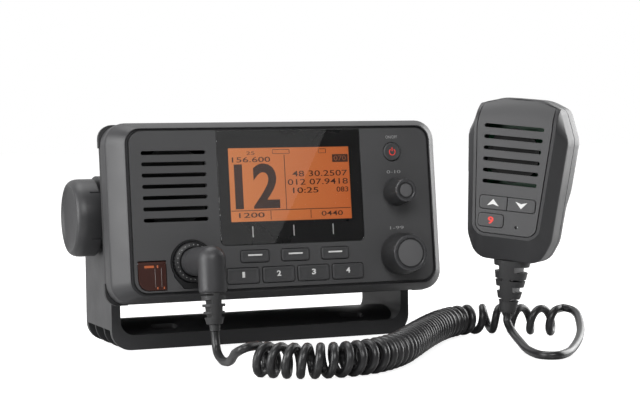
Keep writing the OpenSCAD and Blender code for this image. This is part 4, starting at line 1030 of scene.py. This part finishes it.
@dataclass
class Keypad:
    """Soft keys, function keys and the round power button."""

    soft: Point2 = (14.2, 5.7)
    function: Point2 = (16.2, 7.4)
    proud: float = 0.8
    foot: float = -3.4
    soft_at: list[Point2] = field(default_factory=lambda: [
        (-17.1, -22.65), (3.5, -22.65), (24.1, -22.65)])
    function_at: list[Point2] = field(default_factory=lambda: [
        (-23.4, -31.7), (-5.5, -31.7), (12.4, -31.7), (30.3, -31.7)])

    def cap(self, name: str, size: Point2, at: Point2) -> bpy.types.Object:
        """A key's cap: rounded edge, shallow dish and a low ridge for the fingertip."""
        w, h = size
        top = self.proud
        steps = [(0, self.foot), (0, top - 0.45), (0.12, top - 0.2), (0.35, top - 0.05),
                 (0.7, top), (1.3, top - 0.08), (2.2, top - 0.2)]
        rings = [level(rectangle(w - 2 * i, h - 2 * i, max(1.2 - i, 0.35), at), z)
                 for i, z in steps]
        body = loft(name, rings)
        ridge = slab("ridge", rectangle(w * 0.56, 0.5, 0.2, (at[0], at[1] - h * 0.3)),
                     top - 0.3, top - 0.02, 0.12)
        return painted(joined(name, [body, ridge]), KEY_GREY)

    def key(self, name: str, size: Point2, at: Point2, prints: list[bpy.types.Object],
            print_finish: Finish = WHITE_PRINT) -> None:
        """A key with its print, riding on its own body."""
        obj = self.cap(f"{name}_cap", size, at)
        placed(obj, FACE, name, "key_plastic", name)
        mark = painted(joined(f"{name}_print", prints), print_finish)
        placed(mark, FACE, name, "key_plastic")

    def power(self) -> None:
        """The round power button with a lit red ring and bar."""
        at, r, top = (57.2, 25.9), 4.5, self.proud
        obj = turned("power_button_cap", [
            (r, self.foot), (r, top - 0.5), (r - 0.15, top - 0.2), (r - 0.45, top), (r - 0.9, top),
            (r - 1.3, top - 0.15), (0.3, top - 0.2)])
        obj.data.transform(_shift(*at, 0))
        placed(painted(obj, KEY_GREY), FACE, "power_button", "key_plastic", "power_button")
        arc = [math.radians(a) for a in range(125, 416, 10)]
        ring = [(at[0] + 1.75 * math.cos(a), at[1] - 0.15 + 1.75 * math.sin(a)) for a in arc]
        ring += [(at[0] + 1.3 * math.cos(a), at[1] - 0.15 + 1.3 * math.sin(a))
                 for a in reversed(arc)]
        glyph = [slab("ring", ring, top - 0.22, top - 0.12),
                 slab("bar", rectangle(0.45, 1.9, 0.1, (at[0], at[1] + 1.1)),
                      top - 0.22, top - 0.12)]
        placed(painted(joined("power_button_print", glyph), RED_PRINT), FACE, "power_button",
               "red_translucent")

    def build(self) -> None:
        """Builds every key of the radio's face."""
        z = self.proud - 0.16
        for i, at in enumerate(self.soft_at, 1):
            bar = slab("bar", rectangle(7.2, 0.85, 0.2, (at[0], at[1] + 0.65)), z - 0.06, z)
            self.key(f"soft_key_{i}", self.soft, at, [bar])
        for i, at in enumerate(self.function_at, 1):
            width = 1.3 if i == 1 else 2.1
            figure = fitted("figure", str(i), (width, 2.7), (at[0], at[1] + 0.5), z - 0.02,
                            0.12, 0.06)
            self.key(f"function_key_{i}", self.function, at, [figure])
        self.power()


@dataclass
class Dials:
    """The two round knobs, with a raised rim round a sunk disc."""

    volume_at: Point2 = (58.0, 5.9)
    volume: Corner = (6.9, 5.4, 12.8)
    select_at: Point2 = (58.4, -24.6)
    select: Corner = (10.3, 8.7, 13.3)

    def knob(self, name: str, at: Point2, sizes: Corner) -> None:
        """A tapered knob: its skirt, darker as painted shade, then its rim in a lighter finish, and
        its disc lighter still as painted light.

        Args:
            name: Node and body of the knob.
            at: Its middle on the face.
            sizes: Radius of its foot, radius of its cap, and height.
        """
        r, cap, top = sizes
        skirt = turned("skirt", [
            (r - 1.8, 0.8), (r - 0.5, 0.8), (r - 0.1, 1.0), (r, 1.5), (r - 0.15, top * 0.4),
            (r - 0.5, top * 0.66), (cap + 0.35, top * 0.88), (cap + 0.15, top - 0.55),
            (cap - 0.1, top - 0.5)], 96)
        # The skirt's darker colour is painted shade.
        painted(skirt, KNOB_SHADED_GREY)
        rim = turned("rim", [
            (cap + 0.16, top - 0.6), (cap + 0.14, top - 0.45), (cap - 0.05, top - 0.12),
            (cap - 0.35, top), (cap - 1.15, top), (cap - 1.35, top - 0.12), (cap - 1.5, top - 0.5),
            (cap - 1.55, top - 1.2), (cap - 1.75, top - 1.3)], 96)
        painted(rim, KNOB_RIM_GREY)
        disc = turned("disc", [
            (cap - 1.6, top - 1.3), (cap - 2.05, top - 1.2), (cap - 2.1, top - 0.6),
            (cap - 2.3, top - 0.42), (cap * 0.4, top - 0.36), (0.3, top - 0.34)], 96)
        # The disc's lighter colour is painted light.
        painted(disc, KNOB_CAP_LIT_GREY)
        obj = joined(f"{name}_dial", [skirt, rim, disc])
        obj.data.transform(_shift(*at, 0))
        placed(obj, FACE, name, "satin_dark_plastic", name)

    def build(self) -> None:
        """Builds both knobs."""
        self.knob("volume_knob", self.volume_at, self.volume)
        self.knob("select_knob", self.select_at, self.select)
        repaint(STEEL, "volume_shaft", "select_shaft")


@dataclass
class DistressCover:
    """The flip-up cover over the guarded button, with its pin."""

    height: float = 13.5
    at: Point2 = (-67.8, -29.8)

    def build(self) -> None:
        """Builds the cover, its light tabs that glow with painted light, the button and the pin."""
        dressed("distress_cover", "flip_cover", COVER_RED, "distress_cover", "red_translucent", 0.2)
        (u, v), h = self.at, self.height
        upper, lower = v + h / 2 - 2.5, v - h / 2 + 1.1
        # The orange tabs glow with painted light.
        tabs = [slab("tab", rectangle(wide, high, 0.2, (u + x, y)), 0.1, 0.3, 0.08)
                for wide, high, x, y in ((4.6, 1.1, -1.4, upper), (0.7, 1.3, 2.6, upper),
                                         (0.5, 1.1, 2.3, lower), (0.5, 1.1, 5.4, lower))]
        placed(painted(joined("cover_tabs", tabs), TAB_ORANGE_GLOWING), FACE, "distress_cover",
               "red_translucent")
        ribs = [slab("rib", rectangle(0.35, h - 4.4, 0.15, (u + x, v - 0.9)), 0.1, 0.32, 0.1)
                for x in (1.4, 4.4)]
        placed(painted(joined("cover_ribs", ribs), COVER_RED), FACE, "distress_cover",
               "red_translucent")
        repaint(STEEL, "cover_pin")
        dressed("distress_button", "guarded_button", BUTTON_RED, "distress_button",
                "red_button", 0.3)


# ---------------------------------------------------------------- plug and reliefs


@dataclass
class Relief:
    """A tapered strain relief with gaps from both sides that leave a web in the middle."""

    name: str
    profile: list[Point2]
    gaps: list[Corner]
    gap_size: Point2 = (12, 30)

    def build(self) -> bpy.types.Object:
        """Turns the relief, hanging down from z = 0, and cuts its gaps.

        Returns:
            The piece, in its own millimetres.
        """
        obj = turned(self.name, [(radius, -depth) for radius, depth in self.profile], 64)
        tools = []
        for low, high, web in self.gaps:
            for side in (-1, 1):
                at = (side * (web + self.gap_size[0] / 2), 0)
                tools.append(slab("gap", rectangle(*self.gap_size, 0.2, at), -high, -low))
        cut(obj, joined("gaps", tools))
        soften(obj, 0.18)
        return obj


@dataclass
class MicPlug:
    """Socket, coupling ring, right-angle plug and its strain relief."""

    leg_radius: float = 6.5
    reach: float = 28.5
    drop: float = 14.8
    socket_at: Point2 = (-48.2, -24.2)

    def elbow(self) -> None:
        """Two legs and a domed corner, blended into one moulding."""
        r = self.leg_radius
        upright = turned("plug_elbow_moulding", [
            (0.4, 6.5)] + [(r * math.cos(math.radians(a)), r * math.sin(math.radians(a)) * 0.985)
                           for a in range(80, -1, -10)]
            + [(r, -self.drop + 0.6), (r - 0.5, -self.drop), (0.4, -self.drop)], 64)
        across = turned("across", [(0.4, 0), (r, 0), (r, 19.2), (r + 0.25, 19.5), (r + 0.3, 20.6),
                                   (r + 0.1, 21.1), (r - 0.4, 21.3), (r - 0.4, 24.6), (r, 24.6),
                                   (r, self.reach), (5.2, self.reach), (5.2, self.reach + 6),
                                   (0.4, self.reach + 6)], 64)
        across.data.transform(_turn(-90, "X"))
        cut(upright, across, "UNION")
        modify(upright, "REMESH", mode="VOXEL", voxel_size=0.42)
        modify(upright, "SMOOTH", factor=0.5, iterations=8)
        painted(upright, SATIN_GREY)
        placed(upright, PLUG, "radio", "satin_dark_plastic", "plug_elbow", smooth=60)

    def ring(self) -> None:
        """The knurled ring, with a row of small pale dots on its face that are painted glints."""
        steps = [(6.85, -1.55), (9.3, -1.55), (9.5, -1.3), (9.5, 2.0), (9.2, 2.7), (8.7, 3.0),
                 (7.6, 3.2), (7.2, 3.35), (6.95, 3.3), (6.85, 3.0), (6.85, -1.55)]
        rings = []
        for radius, z in steps:
            wave = [0.35 * max(0.0, math.cos(36 * math.tau * i / 144)) ** 2
                    if radius > 9.25 else 0.0 for i in range(144)]
            rings.append([Vector(((radius - wave[i]) * math.cos(math.tau * i / 144),
                                  (radius - wave[i]) * math.sin(math.tau * i / 144), z))
                          for i in range(144)])
        ring = loft("coupling_ring", rings, closed=True)
        painted(ring, SOCKET_BLACK)
        ring.data.transform(_shift(*self.socket_at, 0))
        placed(ring, FACE, "plug_ring", "black_plastic", "plug_ring")
        # The pale dots are painted highlights: glints on the ring's textured face, in grey.
        dot = turned("dot", [(0.26, 0.0), (0.24, 0.12), (0.14, 0.22), (0.03, 0.25)], 10)
        spots = [_shift(*self.socket_at, 0) @ _turn(15 * i, "Z") @ _shift(8.1, 0, 3.05)
                 for i in range(24)]
        dots = painted(joined("ring_glint_dots", copied(dot, spots)), GREY_PRINT_AND_GLINTS)
        placed(dots, FACE, "plug_ring", "black_plastic")

    def build(self) -> None:
        """Builds the plug and its surroundings."""
        dressed("mic_socket", "plug_socket", SOCKET_BLACK, "radio", "black_plastic", 0.25)
        self.ring()
        self.elbow()
        relief = Relief("plug_relief_moulding", [
            (0.4, 0), (5.7, 0), (5.2, 6), (4.5, 11), (4.1, 12.4), (3.7, 14), (2.5, 14.3),
            (2.3, 17.2), (0.4, 17.3)],
            [(0.4, 1.3, 1.6), (3.1, 5.0, 2.2), (6.3, 8.3, 2.75), (9.5, 11.0, 2.2)]).build()
        painted(relief, RELIEF_RUBBER)
        placed(relief, PLUG @ _shift(0, 0, -self.drop), "radio", "relief_rubber", "plug_relief",
               smooth=50)


# ---------------------------------------------------------------- case


@dataclass
class Case:
    """The cast housing behind the face, what sticks out of its back, and what is inside."""

    def build(self) -> None:
        """Dresses the case."""
        dressed("rear_housing", "cast_case", CAST_PAINT, "radio", "cast_housing", 0.5)
        dressed("housing_seal", "case_seal", SEAL_RUBBER, "radio", "seal_rubber", 0.12)
        dressed("housing_screws", "case_screws", STEEL, "radio", "stainless", 0.15)
        dressed("antenna_socket", "coax_socket", NICKEL, "radio", "nickel_socket", 0.25)
        dressed("power_socket", "lead_inlet", SOCKET_BLACK, "radio", "black_plastic", 0.3)
        repaint(BRASS, "pivot_inserts")
        repaint(SEAL_RUBBER, "friction_pads", "keypad_mat")
        repaint(BOARD_GREEN, "front_board", "main_board", "handset_board")
        repaint(TINNED, "rf_shield", "volume_encoder", "select_encoder", "handset_microphone")
        repaint(CONE_BLACK, "speaker", "handset_speaker", "lcd_module")


# ---------------------------------------------------------------- handset


@dataclass
class Handset:
    """The fist microphone: two shells, front plate, keys, talk button, relief and hanger."""

    slope: float = 7.0
    split: float = 17.5
    side: float = 21.5
    back: float = 25.0
    upper: float = 4.3
    bend_from: float = 19.0
    crest: float = 10.5
    crown_top: float = 34.7
    lip_top: float = 34.0
    crown_drop: float = 2.6
    crown_half: float = 18.0
    talk_at: Point2 = (9, 14.3)
    talk_size: Point2 = (30, 12.4)
    talk_corner: float = 4.0
    slot_top: float = 20.4
    slot_pitch: float = 5.35
    rocker: Point2 = (28.7, -16.4)
    quick_at: Point2 = (-7.6, -25)
    plate: list[Corner] = field(default_factory=lambda: [
        (12.36, -31, 4.4), (15.15, -28.36, 4.4), (18.6, 20, 10), (18.0, 31.0, 1.2), (9, 33.6, 20)])
    widest: list[Corner] = field(default_factory=lambda: [
        (16.5, -44.4, 9), (21.5, -33, 14), (25.3, 16, 12), (19.8, 30.4, 6), (10, 34.4, 20)])
    rear: list[Corner] = field(default_factory=lambda: [
        (9, -36, 7), (15, -28, 9), (18, 12, 10), (15.5, 24, 8), (8, 28, 8)])

    def crown(self, x: float, top: float) -> float:
        """Height of the rounded top, beside the middle where it is highest."""
        return top - self.crown_drop * (x / self.crown_half) ** 2

    def bent(self, x: float, y: float, depth: float) -> Vector:
        """A point of the front, with the front curved backwards over the handset's top."""
        top = self.crown(x, self.crown_top)
        climb = min(max((y - self.bend_from) / (top - self.bend_from), 0.0), 0.985)
        fall = self.crest * (1 - math.sqrt(1 - climb * climb))
        if depth < self.slope:
            share = 1 - 0.6 * max(depth, 0.0) / self.slope
        else:
            share = 0.4 * max(0.0, (self.split - depth) / (self.split - self.slope))
        return Vector((x, y, -(depth + fall * share)))

    @staticmethod
    def flank(y: float) -> float:
        """How far out the handset's side lies at a height, below and above its widest place."""
        return min(21.5 + (y + 33) * 0.0776, 25.3 - (y - 16) * 0.382) - 0.12

    def rise(self, y: float) -> float:
        """How much thicker the handset's upper half is, at a height."""
        t = min(max((y + 18) / 11, 0.0), 1.0)
        return self.upper * t * t * (3 - 2 * t)

    def talk_pocket(self, by: float, low: float, high: float, soft: float) -> bpy.types.Object:
        """The talk button's form on the left side, or the pocket round it.

        Args:
            by: Distance that its outline is moved outwards.
            low: Height of its foot over the handset's side.
            high: Height of its top over the side.
            soft: Width of its rounded rim.

        Returns:
            The piece, in the handset's millimetres.
        """
        long, wide = self.talk_size
        ring = rectangle(long + 2 * by, wide + 2 * by, self.talk_corner + by, self.talk_at, 8)
        steps = [(0.0, low), (0.0, min(0.0, high - 0.5)), (-0.3 * soft, 0.55 * high),
                 (-0.6 * soft, 0.85 * high), (-soft, high)] if soft else [(0.0, low), (0.0, high)]
        obj = loft("talk_form", [level(spread(ring, inward), z) for inward, z in steps])
        with editing(obj):
            for k in range(11):
                bpy.ops.mesh.select_all(action="SELECT")
                bpy.ops.mesh.bisect(plane_co=(-5 + 2.8 * k, 0, 0), plane_no=(1, 0, 0))
        for vert in obj.data.vertices:
            along, depth, out = vert.co
            vert.co = Vector((-(self.flank(along) + out), along, -depth))
        with editing(obj):
            bpy.ops.mesh.select_all(action="SELECT")
            bpy.ops.mesh.normals_make_consistent(inside=False)
        return obj

    def front_shell(self) -> None:
        """The front shell: a flat lip round the plate, slopes, and a straight side band."""
        plate, wide = dense(both_sides(self.plate)), dense(both_sides(self.widest))
        lip = [(x, min(y, self.crown(x, self.lip_top))) for x, y in spread(plate, 2.1)]
        core = [(x * 0.9, y * 0.94) for x, y in plate]
        steps = [(spread(plate, 0.3), 2.1), (spread(plate, 0.3), 0.5), (spread(plate, 0.5), 0.25),
                 (mixed(plate, lip, 0.9), 0.3), (lip, 0.5), (mixed(lip, wide, 0.1), 1.1),
                 (mixed(lip, wide, 0.5), 3.6), (mixed(lip, wide, 0.88), 6.0),
                 (mixed(lip, wide, 0.97), 6.75), (wide, 7.6), (wide, 11), (wide, 14.5),
                 (wide, 17.15), (spread(wide, -0.3), 17.45), (core, 17.4), (core, 2.1),
                 (spread(plate, 0.3), 2.1)]
        rings = [[self.bent(x, y, depth) for x, y in points] for points, depth in steps]
        obj = loft("handset_front", rings, closed=True)
        cut(obj, self.talk_pocket(0.3, -2.6, 4, 0))
        placed(painted(obj, SATIN_GREY), HANDSET, "stand", "satin_dark_plastic",
               "handset_front_shell", smooth=30)

    def rear_shell(self) -> None:
        """The rear shell: its part of the side band, and a back that is thicker at the top."""
        wide, rear = dense(both_sides(self.widest)), dense(both_sides(self.rear))
        steps = [(spread(wide, -0.3), 17.55, 0), (wide, 17.9, 0), (wide, 19.5, 0.45),
                 (wide, self.side - 0.4, 0.96), (mixed(wide, rear, 0.05), self.side + 0.1, 1),
                 (mixed(wide, rear, 0.2), self.side + 1.1, 1),
                 (mixed(wide, rear, 0.55), self.side + 2.5, 1),
                 (mixed(wide, rear, 0.9), self.back - 0.25, 0.95), (rear, self.back - 0.1, 0.93),
                 ([(x * 0.92, y * 0.95) for x, y in rear], self.back, 0.93)]
        rings = [[Vector((x, y, -(depth + share * self.rise(y)))) for x, y in points]
                 for points, depth, share in steps]
        obj = loft("handset_back", rings)
        cut(obj, self.talk_pocket(0.3, -2.6, 4, 0))
        placed(painted(obj, SATIN_GREY), HANDSET, "stand", "handset_back_plastic",
               "handset_rear_shell", smooth=30)

    def front_plate(self) -> None:
        """The front plate with six slots, key openings and the sound hole, bent over the top."""
        obj = slab("handset_plate", dense(both_sides(self.plate)), -1.8, 0.0)
        holes = [(30 - 0.5 * i, 1.9, 0.94, (0, self.slot_top - self.slot_pitch * i))
                 for i in range(6)]
        holes += [(self.rocker[0], 6.9, 1.8, (0, self.rocker[1])), (13.3, 6.9, 1.8, self.quick_at),
                  (1.9, 1.3, 0.6, (5.5, -27.2))]
        tools = [slab("tool", rectangle(*hole), -3, 1) for hole in holes]
        cut(obj, joined("tools", tools))
        with editing(obj):
            for k in range(24):
                bpy.ops.mesh.select_all(action="SELECT")
                bpy.ops.mesh.bisect(plane_co=(0, self.bend_from + 0.62 * k, 0), plane_no=(0, 1, 0))
            for k in range(9):
                bpy.ops.mesh.select_all(action="SELECT")
                bpy.ops.mesh.bisect(plane_co=(-16 + 4 * k, 0, 0), plane_no=(1, 0, 0))
        for vert in obj.data.vertices:
            vert.co = self.bent(vert.co.x, vert.co.y, -vert.co.z)
        soften(obj, 0.2)
        painted(obj, PANEL_GREY)
        placed(obj, HANDSET, "stand", "panel_plastic", "handset_panel", smooth=30)

    def talk_button(self) -> None:
        """The long soft talk button on the left side."""
        obj = self.talk_pocket(0.0, -1.3, 1.3, 2.2)
        obj.name = obj.data.name = "talk_bar"
        placed(painted(obj, GRIP_BLACK), HANDSET, "talk_button", "grip_rubber", "talk_button")

    def key(self, name: str, width: float, at: Point2, flat_side: int,
            prints: list[bpy.types.Object], finish: Finish) -> None:
        """One key of the handset, low and flat, with its print."""
        w, h, r = width / 2, 3.2, 1.5
        inner = 0.25
        right = inner if flat_side > 0 else r
        left = inner if flat_side < 0 else r
        def ring(by: float) -> list[Point2]:
            """The key's outline, drawn in by a distance."""
            return [(x + at[0], y + at[1]) for x, y in outline([
                (w - by, -h + by, right), (w - by, h - by, right), (-w + by, h - by, left),
                (-w + by, -h + by, left)])]
        obj = loft(f"{name}_cap", [level(ring(0), -1.2), level(ring(0), 0.1),
                                   level(ring(0.12), 0.32), level(ring(0.4), 0.4),
                                   level(ring(1.0), 0.34)])
        placed(painted(obj, PANEL_GREY), HANDSET, name, "key_plastic", name)
        mark = painted(joined(f"{name}_print", prints), finish)
        placed(mark, HANDSET, name, "key_plastic")

    def keys(self) -> None:
        """The rocker's halves with arrow heads, and the quick key with a red figure."""
        mid = self.rocker[1]

        def arrow(u: float, sign: int) -> bpy.types.Object:
            """A white arrow head with a notched tail."""
            pts = [(-3, -1.6), (0, -0.7), (3, -1.6), (0, 1.7)]
            return slab("arrow", [(u + x, mid + sign * y) for x, y in pts][::sign], 0.33, 0.42)

        for name, u, sign in (("up_key", -7.1, 1), ("down_key", 7.1, -1)):
            self.key(name, 13.9, (u, mid), sign, [arrow(u, sign)], WHITE_PRINT)
        figure = fitted("figure", "9", (2.9, 3.6), self.quick_at, 0.36, 0.16, 0.06)
        self.key("quick_key", 12.8, self.quick_at, 0, [figure], RED_PRINT)

    def build(self) -> None:
        """Builds the handset."""
        self.front_shell()
        self.rear_shell()
        self.front_plate()
        self.keys()
        self.talk_button()
        dressed("handset_hanger", "hanger_stud", STEEL, "stand", "stainless", 0.3)
        dressed("handset_screws", "handset_back_screws", STEEL, "stand", "stainless", 0.15)
        relief = Relief("handset_relief_moulding", [
            (0.4, 0), (9.1, 0), (8.6, 3), (7.6, 9), (6.6, 14), (5.5, 18.8), (4.9, 20.2), (4.6, 21),
            (4.3, 24), (3.9, 25.6), (3.5, 26), (0.4, 26)],
            [(2.9, 5.8, 4.0), (9.2, 10.1, 1.7), (13, 15.6, 3.4), (19, 20, 1.7)]).build()
        painted(relief, RELIEF_RUBBER)
        placed(relief, HANDSET_UPRIGHT @ _shift(0, 15, -44.4), "stand", "relief_rubber",
               "handset_relief", smooth=50)


def main() -> None:
    """Builds the scene: camera and cord first, then each sub-assembly in order."""
    logging.basicConfig(level=logging.INFO, format="%(message)s")
    studio = Studio()
    studio.camera()
    Cord().build()
    Stand().build()
    Face().build()
    Keypad().build()
    Dials().build()
    DistressCover().build()
    MicPlug().build()
    Case().build()
    Handset().build()
    studio.build()


if __name__ == "__main__":
    main()
